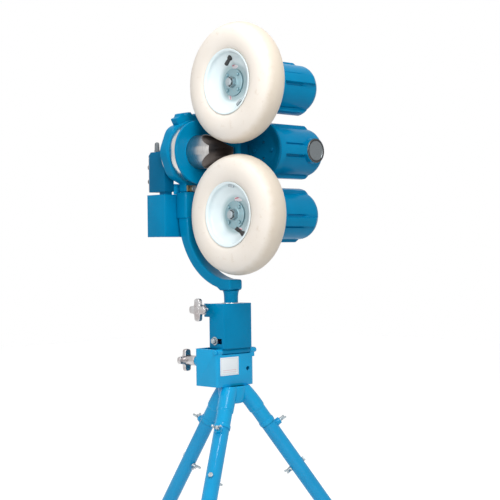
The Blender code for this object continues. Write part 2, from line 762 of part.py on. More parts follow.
def neck_shaft(name):
    """The spigot under the arm that turns in the swivel housing."""
    top = NECK_TOP - GAP
    profile = [
        (0, top), (NECK_RADIUS + 0.004, top), (NECK_RADIUS + 0.0015, top - 0.012), (NECK_RADIUS, top - 0.030),
        (NECK_RADIUS, NECK_END + 0.003), (NECK_RADIUS - 0.003, NECK_END), (0, NECK_END),
    ]
    paint(turned(name, profile, "Z", COLUMN, closed=False, segments=NECK_SEGMENTS), BLUE_PAINT)


def shell(obj, low, high, thick, open_side):
    """Hollows a box between two corners, leaving one side open."""
    inner_low = [value + thick for value in low]
    inner_high = [value - thick for value in high]
    axis = "XYZ".index(open_side[-1])
    if open_side.startswith("-"):
        inner_low[axis] = low[axis] - thick
    else:
        inner_high[axis] = high[axis] + thick
    return cut(obj, block(obj.name + "_hollow", inner_low, inner_high, obj.parent))


def supply_box(name):
    """A folded steel box on the back of the arm, with a cover and the mains inlet behind."""
    low = (-SUPPLY_WIDTH / 2, BOX_FRONT, SUPPLY_TOP - SUPPLY_HEIGHT)
    high = (SUPPLY_WIDTH / 2, BOX_FRONT + SUPPLY_DEPTH, SUPPLY_TOP)
    box = block(name, low, high, COLUMN, 0.002)
    paint(shell(box, low, high, BOX_SHELL, "+Y"), BLUE_PAINT)
    back = high[1] + GAP
    cover = block(
        name + "_cover", (low[0], back, low[2]), (high[0], back + BOX_SHELL, high[2]), COLUMN, 0.001
    )
    inlet_x = 0.040
    middle = SUPPLY_TOP - SUPPLY_HEIGHT / 2
    opening = block(
        name + "_cutout", (inlet_x - 0.0133, back - 0.010, middle - 0.0103),
        (inlet_x + 0.0133, back + 0.010, middle + 0.0103), COLUMN,
    )
    paint(cut(cover, opening), BLUE_PAINT)
    face = back + BOX_SHELL + GAP
    inlet = block(
        "mains_inlet", (inlet_x - 0.013, face - 0.024, middle - 0.010),
        (inlet_x + 0.013, face, middle + 0.010), COLUMN,
    )
    rim_low = (inlet_x - 0.020, face, middle - 0.015)
    fuse(inlet, block("mains_inlet_flange", rim_low, (inlet_x + 0.020, face + 0.003, middle + 0.015), COLUMN))
    recess_low = (inlet_x - 0.010, face - 0.016, middle - 0.007)
    cut(inlet, block(
        "mains_inlet_recess", recess_low, (inlet_x + 0.010, face + 0.010, middle + 0.007), COLUMN
    ))
    paint(inlet, BLACK_PLASTIC)


def control_box(name):
    """The narrow speed box beside the feed mouth: a switch on top, a panel with two dials behind."""
    outer = -SUPPLY_WIDTH / 2
    bottom = SUPPLY_TOP + BOX_SPACE
    back = BOX_FRONT + CONTROL_DEPTH
    chamfer = 0.010
    outline = [
        (BOX_FRONT, bottom), (back, bottom), (back, CONTROL_TOP - chamfer), (back - chamfer, CONTROL_TOP),
        (BOX_FRONT, CONTROL_TOP),
    ]
    box = plate(name, outline, outer, CONTROL_INNER, "YZ", COLUMN)
    round_edges(box, 0.0015, angle=50)
    low = (outer + BOX_SHELL, BOX_FRONT + BOX_SHELL, bottom + BOX_SHELL)
    high = (CONTROL_INNER - BOX_SHELL, back + 0.010, CONTROL_TOP - chamfer - BOX_SHELL)
    cut(box, block(name + "_hollow", low, high, COLUMN))
    foot = (outer + 0.006, BOX_FRONT + 0.004, SUPPLY_TOP + GAP)
    fuse(box, block(name + "_foot", foot, (CONTROL_INNER - 0.006, BOX_FRONT + 0.036, bottom + 0.001), COLUMN))
    middle = (outer + CONTROL_INNER) / 2
    cut(box, rod(
        name + "_switch_hole", 0.0065, -0.020, 0.020, "Z", COLUMN, (middle, SWITCH_Y, CONTROL_TOP), 20
    ))
    paint(box, BLUE_PAINT)

    face = back + GAP
    panel_low = (outer + 0.001, face, bottom + 0.001)
    panel_high = (CONTROL_INNER - 0.001, face + BOX_SHELL, CONTROL_TOP - chamfer)
    panel = block("control_panel", panel_low, panel_high, COLUMN, 0.001)
    for prefix, height in (("upper", DIAL_HEIGHTS[0]), ("lower", DIAL_HEIGHTS[1])):
        cut(panel, rod(
            prefix + "_dial_hole", 0.0035, face - 0.010, face + 0.010, "Y", COLUMN, (middle, 0, height), 16
        ))
        dial(prefix + "_dial", middle, face + BOX_SHELL, height)
    paint(panel, ALUMINIUM)


def dial(name, side, face, height):
    """A knurled speed dial on its spindle, with a raised pointer."""
    axle = empty(name + "_axis", (side, face, height), COLUMN)
    start = 0.0006
    profile = [
        (0, -0.014), (0.003, -0.014), (0.003, start), (DIAL_RADIUS, start), (DIAL_RADIUS, 0.003),
        (DIAL_RADIUS * 0.86, 0.004), (DIAL_RADIUS * 0.80, 0.016), (DIAL_RADIUS * 0.72, 0.0175), (0, 0.0175),
    ]
    body = turned(name, profile, "Y", axle, closed=False, segments=14)
    pointer = block(name + "_pointer", (-0.0008, 0.0170, 0.002), (0.0008, 0.0182, DIAL_RADIUS * 0.68), axle)
    paint(fuse(body, pointer), BLACK_PLASTIC)


def power_switch(name):
    """A toggle under a round-topped rubber boot. Its ball sits in the hole of the box."""
    middle = (CONTROL_INNER - SUPPLY_WIDTH / 2) / 2
    pivot = empty("power_switch_axis", (middle, SWITCH_Y, CONTROL_TOP - BOX_SHELL / 2), COLUMN)
    profile = [
        (0, -0.0060), (0.0042, -0.0042), (0.0060, 0), (0.0046, 0.0041), (0.0100, 0.0041), (0.0100, 0.0075),
        (0.0088, 0.0115), (0.0082, 0.0270), (0.0068, 0.0320), (0.0040, 0.0355), (0, 0.0370),
    ]
    paint(turned(name, profile, "Z", pivot, closed=False, segments=12), GREY_RUBBER)


def yoke(front, back):
    roll_ring("roll_ring", front, back)
    clamp_bolt("ring_clamp_bolt", front)
    yoke_arm("yoke_arm")
    neck_shaft("neck_shaft")
    supply_box("supply_box")
    control_box("control_box")
    power_switch("power_switch")


def star_knob(name, axle, stud_length, rise):
    """A cast four-arm hand knob: the star is centred on the axle's origin, the stud runs along -Z."""
    outline = []
    for i in range(4):
        base = 90 * i
        for degrees, radius in KNOB_OUTLINE:
            angle = math.radians(base + degrees)
            outline.append((radius * math.cos(angle), radius * math.sin(angle)))
    half = KNOB_THICK / 2
    star = plate(name, outline, -half, half, "XY", axle)
    round_edges(star, 0.004, 1, 25)
    profile = [
        (0, half + 0.002), (0.012, half + 0.002), (0.017, half - 0.002), (0.017, -half - rise),
        (0.0055, -half - rise),
        (0.0055, -stud_length), (0, -stud_length),
    ]
    fuse(star, turned(name + "_stem", profile, "Z", axle, closed=False, segments=16))
    paint(star, ALUMINIUM)
    return star


def swivel_housing(name):
    """The square housing under the arm: split ears at the rear, hinge knuckles below."""
    half = HOUSING_WIDTH / 2
    low = (-half, HOUSING_FRONT, HOUSING_BOTTOM)
    high = (half, HOUSING_BACK, HOUSING_TOP)
    body = block(name, low, high, HOUSING)
    shell(body, low, high, HOUSING_WALL, "-Z")
    web_low = (-half + 0.001, HOUSING_FRONT + 0.001, BUSH_LOWER - 0.004)
    fuse(body, block(
        name + "_web", web_low, (half - 0.001, HOUSING_BACK - 0.001, BUSH_LOWER + 0.004), HOUSING
    ))
    cut(body, rod(
        name + "_bore", BUSH_RADIUS + GAP, BUSH_LOWER - 0.020, HOUSING_TOP + 0.020, "Z", HOUSING,
        segments=NECK_SEGMENTS,
    ))
    ear_bottom = HOUSING_TOP - 0.045
    for side in (-1, 1):
        near = min(side * half, side * (half - HOUSING_WALL))
        ear = block(
            name + "_ear", (near, HOUSING_BACK - 0.010, ear_bottom),
            (near + HOUSING_WALL, EAR_BACK, HOUSING_TOP), HOUSING
        )
        fuse(body, ear)
    nut_start = half - 0.001
    fuse(body, rod(name + "_nut", 0.011, nut_start, nut_start + 0.009, "X", HOUSING, (0, KNOB_Y, KNOB_Z), 6))
    cut(body, rod(
        name + "_stud_hole", 0.0058, -half * 1.4, half * 1.4, "X", HOUSING, (0, KNOB_Y, KNOB_Z), 12
    ))
    window_high = (-half + HOUSING_WALL * 2, 0.008, HOUSING_BOTTOM + 0.039)
    cut(body, block(
        name + "_window", (-half - 0.010, HOUSING_FRONT - 0.010, HOUSING_BOTTOM + 0.005), window_high,
        HOUSING,
    ))
    cut(body, rod(
        name + "_bolt_hole", 0.0063, -half * 1.4, half * 1.4, "X", HOUSING, (0, BOLT_Y, BOLT_Z), 12
    ))
    reach = half - 0.0005
    knuckle = rod(name + "_knuckle", HINGE_RADIUS, -reach, reach, "X", HOUSING, (0, HINGE_Y, HINGE_Z), 16)
    rib_low = (-reach, HINGE_Y - HINGE_RADIUS * 0.7, HINGE_Z)
    rib = block(
        name + "_rib", rib_low, (reach, HINGE_Y + HINGE_RADIUS * 0.7, HOUSING_BOTTOM + 0.006), HOUSING
    )
    fuse(body, rib, knuckle)
    pin_hole = rod(
        name + "_pin_hole", HINGE_PIN_RADIUS + GAP, -half * 1.2, half * 1.2, "X", HOUSING,
        (0, HINGE_Y, HINGE_Z), 12,
    )
    paint(cut(body, pin_hole), BLUE_PAINT)


def neck_bush(name):
    """A flanged bush, from the housing's top down to its web."""
    bore = NECK_RADIUS + GAP
    profile = [
        (bore, HOUSING_TOP + 0.004), (BUSH_RADIUS + 0.006, HOUSING_TOP + 0.004),
        (BUSH_RADIUS + 0.006, HOUSING_TOP + GAP),
        (BUSH_RADIUS, HOUSING_TOP + GAP), (BUSH_RADIUS, BUSH_LOWER - 0.009), (bore, BUSH_LOWER - 0.009),
    ]
    paint(turned(name, profile, "Z", HOUSING, segments=NECK_SEGMENTS), ALUMINIUM)


def cross_bolt(name):
    """The long bolt through the foot of the housing."""
    half = HOUSING_WIDTH / 2
    place = (0, BOLT_Y, BOLT_Z)
    body = rod(name, 0.006, -half - 0.014, half + 0.016, "X", HOUSING, place, 12)
    for start, radius, thick, sides in BOLT_STACK:
        near = -half - GAP - start - thick
        fuse(body, rod(name + "_piece", radius, near, near + thick, "X", HOUSING, place, sides))
    far = half + GAP
    fuse(body, rod(name + "_nut", 0.011, far, far + 0.010, "X", HOUSING, place, 6))
    paint(body, ZINC_STEEL)


def housing():
    swivel_housing("swivel_housing")
    neck_bush("neck_bush")
    cross_bolt("cross_bolt")
    axle = empty("swivel_knob_axis", (-0.101, KNOB_Y, KNOB_Z), HOUSING, TURN_AXIS["-X"])
    star_knob("swivel_knob", axle, 0.101 + HOUSING_WIDTH / 2 + 0.014, 0.018)


def tilt_box(name):
    """The rounded box the housing tilts in, open at the top behind the hinge."""
    half = TILT_WIDTH / 2
    top = HOUSING_BOTTOM - 0.001
    bottom = top - TILT_HEIGHT

    def outline(inset):
        points = arc((half - TILT_CORNER, TILT_FRONT + TILT_CORNER), TILT_CORNER - inset, 270, 360, 6)
        points += arc((half - 0.012, TILT_BACK - 0.012), 0.012 - inset, 0, 90, 2)
        points += arc((-half + 0.012, TILT_BACK - 0.012), 0.012 - inset, 90, 180, 2)
        points += arc((-half + 0.012, TILT_FRONT + 0.012), 0.012 - inset, 180, 270, 2)
        return points

    box = plate(name, outline(0), bottom, top, "XY", STAND)
    cut(box, plate(name + "_hollow", outline(TILT_WALL), bottom + TILT_WALL, top + 0.050, "XY", STAND))
    inner = HOUSING_WIDTH / 2 + 0.0015
    for side in (-1, 1):
        near, far = sorted((side * inner, side * (half - 0.002)))
        ear = rod(name + "_knuckle", HINGE_RADIUS + 0.001, near, far, "X", STAND, (0, HINGE_Y, HINGE_Z), 16)
        web = block(
            name + "_web", (near, HINGE_Y - 0.006, HINGE_Z - 0.022), (far, HINGE_Y + HINGE_RADIUS, HINGE_Z),
            STAND
        )
        fuse(box, ear, web)
    relief_low = (-inner, TILT_FRONT - 0.020, HINGE_Z - HINGE_RADIUS - 0.0012)
    cut(box, block(name + "_relief", relief_low, (inner, HINGE_Y + HINGE_RADIUS + 0.006, top + 0.040), STAND))
    cut(box, rod(
        name + "_pin_hole", HINGE_PIN_RADIUS + GAP, -half * 1.3, half * 1.3, "X", STAND,
        (0, HINGE_Y, HINGE_Z), 12,
    ))
    seat = rod(
        name + "_seat", 0.021, TILT_BACK - 0.002, TILT_BACK + 0.012, "Y", STAND,
        (TILT_KNOB_X, 0, TILT_KNOB_Z), 20,
    )
    fuse(box, seat)
    cut(box, rod(name + "_stud_hole", 0.0058, 0.050, 0.200, "Y", STAND, (TILT_KNOB_X, 0, TILT_KNOB_Z), 12))
    corner = math.radians(-45)
    start = TILT_CORNER - 0.012
    spot = (
        half - TILT_CORNER + start * math.cos(corner), TILT_FRONT + TILT_CORNER + start * math.sin(corner),
        top - 0.076,
    )
    drain = rod(name + "_hole", 0.0095, 0, 0.030, "X", STAND, spot, 12)
    drain.rotation_euler = (0, math.radians(90), corner)
    paint(cut(box, drain), BLUE_PAINT)


def hinge_pin(name):
    half = TILT_WIDTH / 2
    place = (0, HINGE_Y, HINGE_Z)
    body = rod(name, HINGE_PIN_RADIUS, -half - 0.003, half + 0.003, "X", STAND, place, 12)
    for near in (-half - 0.0065, half + GAP):
        fuse(body, rod(name + "_head", 0.0082, near, near + 0.0062, "X", STAND, place, 12))
    paint(body, ZINC_STEEL)


def label_plate(name):
    """A plain white plate riveted on the front of the tilt box."""
    face = TILT_FRONT - 0.0003
    body = block(name, (-0.0745, face - 0.0012, -0.7555), (0.0085, face, -0.6950), STAND)
    for side in (-0.0690, 0.0030):
        for height in (-0.7005, -0.7500):
            rivet = rod(
                name + "_rivet", 0.0025, -face + 0.0008, -face + 0.0022, "-Y", STAND, (side, 0, height), 12
            )
            fuse(body, rivet)
    paint(body, WHITE_LABEL)


def leg_frame(name, degrees):
    """An empty at the top of a leg: Z runs up along the leg, X points outward."""
    angle = math.radians(degrees)
    place = (LEG_TOP_OUT * math.cos(angle), LEG_TOP_OUT * math.sin(angle), LEG_TOP_Z)
    return empty(name, place, STAND, (0, -LEG_SPLAY, angle))


def bent_bar(name, points, radius, parent):
    """A round bar through a few points, with closed ends."""
    curve = bpy.data.curves.new(name, "CURVE")
    curve.dimensions = "3D"
    curve.bevel_depth = radius
    curve.bevel_resolution = 4
    curve.use_fill_caps = True
    spline = curve.splines.new("POLY")
    spline.points.add(len(points) - 1)
    for point, place in zip(spline.points, points):
        point.co = (*place, 1.0)
    return as_mesh(put(name, curve, parent, (0, 0, 0), (0, 0, 0)))


def leg_hub(name):
    """A cast centre post with three bent arms, each ending in a collar and a spigot for its leg."""
    top = HOUSING_BOTTOM - 0.001 - TILT_HEIGHT - GAP
    body = turned(
        name, [(0, top), (0.047, top), (0.047, top - 0.050), (0.034, top - 0.072), (0, top - 0.072)],
        "Z", STAND, closed=False,
    )
    for degrees in LEG_DIRECTIONS:
        angle = math.radians(degrees)
        points = [(0.018 * math.cos(angle), 0.018 * math.sin(angle), top + 0.008)]
        for rise in (ELBOW_RISE, ARM_SOCKET, ARM_SOCKET + 0.020, 0):
            out, height = LEG_TOP_OUT - rise * math.sin(LEG_SPLAY), LEG_TOP_Z + rise * math.cos(LEG_SPLAY)
            points.append((out * math.cos(angle), out * math.sin(angle), height))
        fuse(body, bent_bar(name + "_arm", points[:3], HUB_ARM_RADIUS, STAND))
        fuse(body, bent_bar(name + "_socket", points[3:], LEG_RADIUS, STAND))
        leg = leg_frame(name + "_leg_frame", degrees)
        fuse(body, rod(name + "_collar", LEG_RADIUS + 0.0022, GAP, 0.012, "Z", leg, segments=LEG_SEGMENTS))
        fuse(body, rod(name + "_spigot", LEG_BORE - GAP, -0.060, 0.006, "Z", leg, segments=LEG_SEGMENTS))
    cut(body, block(name + "_trim", (-0.2, -0.2, top), (0.2, 0.2, top + 0.100), STAND))
    paint(body, BLUE_PAINT)


def leg(prefix, degrees):
    """An outer tube, an inner tube that slides in it and a ball foot on the inner tube's end."""
    outer = leg_frame(prefix + "_leg_frame", degrees)
    slide = leg_frame(prefix + "_leg_slide", degrees)
    tube = pipe(
        prefix + "_leg_tube", LEG_RADIUS, LEG_BORE, -LEG_LENGTH, -GAP, "Z", outer, segments=LEG_SEGMENTS
    )
    boss = rod(
        prefix + "_boss", 0.012, LEG_BORE + 0.001, LEG_RADIUS + 0.014, "X", outer, (0, 0, SCREW_DROP), 16
    )
    fuse(tube, boss)
    cut(tube, rod(prefix + "_screw_hole", 0.0043, 0, 0.060, "X", outer, (0, 0, SCREW_DROP), 12))
    cut(tube, rod(prefix + "_bolt_hole", 0.0053, -0.060, 0.060, "X", outer, (0, 0, LEG_BOLT_DROP), 12))
    paint(tube, BLUE_PAINT)
    thumb_screw(prefix + "_thumb_screw", outer)
    clamp_leg_bolt(prefix + "_leg_bolt", outer)

    reach = (BALL_AXIS_HEIGHT + LEG_TOP_Z) / math.cos(LEG_SPLAY)
    centre = -(reach - FOOT_HEIGHT / math.cos(LEG_SPLAY))
    end = centre + 0.006
    inner = pipe(
        prefix + "_inner_leg", LEG_BORE - GAP, LEG_BORE - 0.0028, end, -0.105, "Z", slide,
        segments=LEG_SEGMENTS,
    )
    slot_low = (-0.060, -0.0053, LEG_BOLT_DROP - 0.046)
    cut(inner, block(prefix + "_slot", slot_low, (0.060, 0.0053, LEG_BOLT_DROP + 0.058), slide))
    paint(inner, ZINC_STEEL)

    ball = [(0, centre + FOOT_RADIUS)]
    ball += [(r, centre + h) for h, r in arc((0, 0), FOOT_RADIUS, 0, 180, 8)[1:-1]]
    ball += [(0, centre - FOOT_RADIUS)]
    foot = turned(prefix + "_foot", ball, "Z", slide, closed=False, segments=LEG_SEGMENTS)
    cut(foot, rod(prefix + "_socket", LEG_BORE, end - GAP, 0, "Z", slide, segments=LEG_SEGMENTS))
    floor = -BALL_AXIS_HEIGHT
    cut(foot, block(prefix + "_floor", (-1, -1, floor - 0.200), (1, 1, floor), STAND))
    paint(foot, BLACK_RUBBER)


def thumb_screw(name, frame):
    """The wing screw that locks a leg tube on the hub."""
    place = (0, 0, SCREW_DROP)
    start = LEG_BORE + GAP
    body = rod(name, 0.004, start, LEG_RADIUS + 0.030, "X", frame, place, 12)
    wing_low = (LEG_RADIUS + 0.020, -0.015, SCREW_DROP - 0.003)
    wing = block(name + "_wing", wing_low, (LEG_RADIUS + 0.034, 0.015, SCREW_DROP + 0.003), frame, 0.002, 1)
    fuse(
        body, rod(name + "_collar", 0.007, LEG_RADIUS + 0.0145, LEG_RADIUS + 0.024, "X", frame, place, 12),
        wing,
    )
    paint(body, ZINC_STEEL)


def clamp_leg_bolt(name, frame):
    """The bolt with a wing nut that clamps a sliding leg."""
    place = (0, 0, LEG_BOLT_DROP)
    seat = LEG_RADIUS + 0.0006
    body = rod(name, 0.005, -seat - 0.016, seat + 0.002, "X", frame, place, 12)
    head = rod(name + "_head", 0.0085, seat, seat + 0.0065, "X", frame, place, 6)
    nut = rod(name + "_nut", 0.0085, -seat - 0.012, -seat, "X", frame, place, 12)
    wing_low = (-seat - 0.020, -0.019, LEG_BOLT_DROP - 0.003)
    wing = block(name + "_wing", wing_low, (-seat - 0.006, 0.019, LEG_BOLT_DROP + 0.003), frame, 0.002, 1)
    paint(fuse(body, head, nut, wing), ZINC_STEEL)


def stand():
    tilt_box("tilt_box")
    hinge_pin("hinge_pin")
    label_plate("label_plate")
    axle = empty("tilt_knob_axis", (TILT_KNOB_X, TILT_BACK + 0.072, TILT_KNOB_Z), STAND, TURN_AXIS["Y"])
    star_knob("tilt_knob", axle, 0.072 + TILT_WALL + 0.006, 0.046)
    leg_hub("leg_hub")
    for prefix, degrees in zip(("rear", "right", "left"), LEG_DIRECTIONS):
        leg(prefix, degrees)


head()
yoke(*[value - SETBACK for value in throat()])
housing()
stand()
settle()
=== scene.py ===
import json
import math

import bmesh
import bpy
from mathutils import Matrix, Vector


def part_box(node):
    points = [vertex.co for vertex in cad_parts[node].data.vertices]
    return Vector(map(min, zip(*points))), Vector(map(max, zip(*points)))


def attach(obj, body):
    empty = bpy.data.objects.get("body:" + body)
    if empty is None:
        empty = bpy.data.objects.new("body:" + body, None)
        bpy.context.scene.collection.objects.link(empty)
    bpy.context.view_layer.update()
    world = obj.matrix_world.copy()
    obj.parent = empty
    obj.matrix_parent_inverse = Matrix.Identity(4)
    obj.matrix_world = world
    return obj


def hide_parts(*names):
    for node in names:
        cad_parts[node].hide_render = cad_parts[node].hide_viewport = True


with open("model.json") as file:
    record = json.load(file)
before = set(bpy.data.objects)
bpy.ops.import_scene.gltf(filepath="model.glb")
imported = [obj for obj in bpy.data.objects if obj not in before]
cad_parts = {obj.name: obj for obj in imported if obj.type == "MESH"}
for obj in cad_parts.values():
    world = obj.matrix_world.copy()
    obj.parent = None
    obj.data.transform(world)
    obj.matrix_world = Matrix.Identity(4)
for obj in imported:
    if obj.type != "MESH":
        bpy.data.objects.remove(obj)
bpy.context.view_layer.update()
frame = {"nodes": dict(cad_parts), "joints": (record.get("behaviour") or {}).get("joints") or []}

# Leg hub. One iron casting under the tilt box: a post with three bent arms, each ending in a
# narrower socket with a collar round its mouth for the leg. It is in the same enamel as the tilt
# box, whose blue is painted lighter to stand in for the light on these lower parts.
axes = {joint["name"]: Vector(joint["pos_m"]) for joint in frame["joints"] if "pos_m" in joint}
slides = {joint["name"]: Vector(joint["axis"]) for joint in frame["joints"] if joint["type"] == "slide"}
column = Vector((0, axes["swivel"].y, axes["head_roll"].z))   # where the column meets the ball's height


def pose(x=0.0, y=0.0, z=0.0, along=(0, 0, 1), start=column):
    """A place measured from the column, with the local Z axis along a direction."""
    turn = Vector((0, 0, 1)).rotation_difference(Vector(along)).to_matrix().to_4x4()
    return Matrix.Translation(start + Vector((x, y, z))) @ turn


def spin(degrees, axis):
    """A turn about one of the local axes."""
    return Matrix.Rotation(math.radians(degrees), 4, axis)


def polar(radius, degrees, out=0.0, up=0.0):
    """The point at a radius and an angle from (out, up)."""
    angle = math.radians(degrees)
    return out + radius * math.cos(angle), up + radius * math.sin(angle)


def crease(piece, degrees=38):
    """Smooth shading that keeps every edge sharper than an angle."""
    piece.data.shade_smooth()
    piece.data.set_sharp_from_angle(angle=math.radians(degrees))
    return piece


def skin_over(name, points, faces, place):
    """A mesh from points and faces, closed and facing outward."""
    mesh = bpy.data.meshes.new(name)
    mesh.from_pydata([tuple(point) for point in points], [], faces)
    work = bmesh.new()
    work.from_mesh(mesh)
    bmesh.ops.recalc_face_normals(work, faces=work.faces)
    work.to_mesh(mesh)
    work.free()
    piece = bpy.data.objects.new(name, mesh)
    bpy.context.scene.collection.objects.link(piece)
    piece.matrix_world = place
    return crease(piece)


def eased(corners, radius, loop=True, steps=4):
    """Rounds the corners of an outline. A third number on a corner is its own radius."""
    points = []
    for i, corner in enumerate(corners):
        here = Vector(corner[:2])
        reach = corner[2] if len(corner) == 3 else radius
        if reach == 0 or (not loop and i in (0, len(corners) - 1)):
            points.append(here)
            continue
        back = Vector(corners[i - 1][:2]) - here
        ahead = Vector(corners[(i + 1) % len(corners)][:2]) - here
        reach = min(reach, back.length * 0.48, ahead.length * 0.48)
        back, ahead = back.normalized() * reach, ahead.normalized() * reach
        points += [here + back * (1 - k / steps) ** 2 + ahead * (k / steps) ** 2 for k in range(steps + 1)]
    return points


def turned(name, profile, place, segments=72, loop=False, ease=0.0, steps=4):
    """Turns a profile of (radius, height) round the local Z axis, with its corners eased."""
    if ease:
        profile = eased(profile, ease, loop, steps)
    points, rings, faces = [], [], []
    for radius, height in profile:
        start = len(points)
        if radius < 1e-6:
            points.append((0, 0, height))
        else:
            points += [(*polar(radius, 360 * i / segments), height) for i in range(segments)]
        rings.append(range(start, len(points)))
    pairs = list(zip(rings, rings[1:])) + ([(rings[-1], rings[0])] if loop else [])
    for low, high in pairs:
        for i in range(segments):
            j = (i + 1) % segments
            face = [low[i % len(low)], low[j % len(low)], high[j % len(high)], high[i % len(high)]]
            face = list(dict.fromkeys(face))
            if len(face) > 2:
                faces.append(face)
    return skin_over(name, points, faces, place)


def tube(name, points, radius, place):
    """A round bar along a path."""
    curve = bpy.data.curves.new(name, "CURVE")
    curve.dimensions = "3D"
    curve.bevel_depth = radius
    curve.bevel_resolution = 14
    curve.use_fill_caps = True
    spline = curve.splines.new("POLY")
    spline.points.add(len(points) - 1)
    for knot, point in zip(spline.points, points):
        knot.co = (*point, 1.0)
    path = bpy.data.objects.new(name + "_path", curve)
    bpy.context.scene.collection.objects.link(path)
    mesh = settled_mesh(path)
    bpy.data.objects.remove(path)
    piece = bpy.data.objects.new(name, mesh)
    bpy.context.scene.collection.objects.link(piece)
    piece.matrix_world = place
    return crease(piece)


def settled_mesh(piece):
    """The mesh with its modifiers applied, its loose doubles welded."""
    bpy.context.view_layer.update()
    mesh = bpy.data.meshes.new_from_object(piece.evaluated_get(bpy.context.evaluated_depsgraph_get()))
    work = bmesh.new()
    work.from_mesh(mesh)
    bmesh.ops.remove_doubles(work, verts=work.verts, dist=0.000005)
    work.to_mesh(mesh)
    work.free()
    return mesh


def settle(piece):
    mesh = settled_mesh(piece)
    piece.modifiers.clear()
    piece.data = mesh
    return crease(piece)


def shaped(piece, *tools, how="DIFFERENCE"):
    """Cuts the tools out of a piece, or welds them on."""
    for tool in tools:
        step = piece.modifiers.new("cut", "BOOLEAN")
        step.operation = how
        step.solver = "EXACT"
        step.object = tool
    settle(piece)
    for tool in tools:
        bpy.data.objects.remove(tool)
    return piece


def gathered(piece, *others):
    """Joins pieces that touch into one, in the first one's own frame."""
    work = bmesh.new()
    work.from_mesh(piece.data)
    for other in others:
        other.data.transform(piece.matrix_world.inverted() @ other.matrix_world)
        work.from_mesh(other.data)
        bpy.data.objects.remove(other)
    work.to_mesh(piece.data)
    work.free()
    return crease(piece)


def slab(name, outline, low, high, place, bevel=0.0, steps=3):
    """A flat outline in the local XY plane, made solid from low to high."""
    count = len(outline)
    points = [(x, y, low) for x, y in outline] + [(x, y, high) for x, y in outline]
    faces = [list(range(count))[::-1], list(range(count, count * 2))]
    faces += [(i, (i + 1) % count, (i + 1) % count + count, i + count) for i in range(count)]
    return softened(skin_over(name, points, faces, place), bevel, steps)


def softened(piece, width, steps=3, degrees=35):
    """Rounds every edge sharper than an angle."""
    if width:
        bevel = piece.modifiers.new("edges", "BEVEL")
        bevel.width = width
        bevel.segments = steps
        bevel.limit_method = "ANGLE"
        bevel.angle_limit = math.radians(degrees)
        bevel.miter_outer = "MITER_ARC"
        settle(piece)
    return piece


def brick(name, low, high, bevel=0.0, steps=3, start=column):
    """A block between two corners measured from the column."""
    outline = [(low[0], low[1]), (high[0], low[1]), (high[0], high[1]), (low[0], high[1])]
    return slab(name, outline, low[2], high[2], Matrix.Translation(start), bevel, steps)


def hex_colour(code):
    """An sRGB hex value as a linear colour."""
    channels = [int(code[i:i + 2], 16) / 255 for i in (1, 3, 5)]
    return (*[c / 12.92 if c <= 0.04045 else ((c + 0.055) / 1.055) ** 2.4 for c in channels], 1.0)


def joined(made, inputs):
    """Links or sets a node's inputs. A node stands for its first output, a hex value for a colour."""
    for key, value in inputs.items():
        if isinstance(value, bpy.types.Node):
            value = value.outputs[0]
        if isinstance(value, bpy.types.NodeSocket):
            made.id_data.links.new(value, made.inputs[key])
        else:
            made.inputs[key].default_value = hex_colour(value) if isinstance(value, str) else value
    return made


def node(tree, kind, inputs=None, **settings):
    """Adds a shader node with its settings, values and links."""
    made = tree.nodes.new("ShaderNode" + kind)
    for key, value in settings.items():
        setattr(made, key, value)
    return joined(made, inputs or {})


def finish(name, **values):
    """A new material with values on its own shader, and its tree for the nodes."""
    made = bpy.data.materials.new(name)
    made.use_nodes = True
    shader = made.node_tree.nodes["Principled BSDF"]
    for key, value in values.items():
        shader.inputs[key.replace("_", " ")].default_value = value
    return made, made.node_tree, shader


def coated(name, patches, colours, grain=None, **values):
    """A finish whose colour drifts between two shades in patches, over a fine grain in relief.

    Patches are (size in mm, detail), and the grain is (size in mm, detail, strength, height in mm).
    """
    made, tree, shader = finish(name, **values)
    place = node(tree, "TexCoord").outputs["Object"]
    drift = node(tree, "TexNoise", {"Vector": place, "Scale": 1000 / patches[0], "Detail": patches[1]})
    tint = node(tree, "MixRGB", {"Fac": drift, "Color1": colours[0], "Color2": colours[1]})
    joined(shader, {"Base Color": tint})
    if grain:
        size, detail, strength, height = grain
        fine = node(tree, "TexNoise", {"Vector": place, "Scale": 1000 / size, "Detail": detail})
        bump = node(tree, "Bump", {"Height": fine, "Strength": strength, "Distance": height / 1000})
        joined(shader, {"Normal": bump})
    return made, tree, shader, place, tint


def enamel(name, colour, shade, peel_mm, roughness, relief_mm=0.012, gloss=0.075):
    """Sprayed enamel: a wet gloss over a faint orange peel, with the colour a little uneven."""
    return coated(
        name, (85, 3), (shade, colour), (peel_mm, 1.5, 0.5, relief_mm), Roughness=roughness, IOR=1.45,
        Specular_IOR_Level=0.04, Coat_Weight=gloss, Coat_Roughness=0.05,
    )[0]


def fitted(piece, body, material, slot, *replaced):
    """Gives a piece its finish, puts it on its body and lets it stand for its solids."""
    if any(0.001 < abs(value) < 0.999 for row in piece.matrix_world.to_3x3() for value in row):
        piece.data.transform(piece.matrix_world)
        piece.matrix_world = Matrix.Identity(4)
    piece.data.materials.clear()
    piece.data.materials.append(material)
    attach(piece, body)
    if replaced:
        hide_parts(*replaced)
    return piece


# The blue enamel painted lighter: painted light, for the low parts where more light falls.
painted_light_enamel = enamel("blue_enamel_painted_lighter", "#14aee6", "#0a9fd6", 4.0, 0.26, 0.05, 0.32)
leg_splay = math.acos(-next(iter(slides.values())).z)
leg_radius, leg_bore = 0.0254, 0.0224
hub_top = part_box("leg_hub")[1].z - column.z
leg_top = (0.122, -0.924)            # out from the column, and height
leg_sides = ("rear", "right", "left")


def up_the_leg(rise):
    """Out from the column and height, at a distance up from the top of a leg along its line."""
    return leg_top[0] - rise * math.sin(leg_splay), leg_top[1] + rise * math.cos(leg_splay)


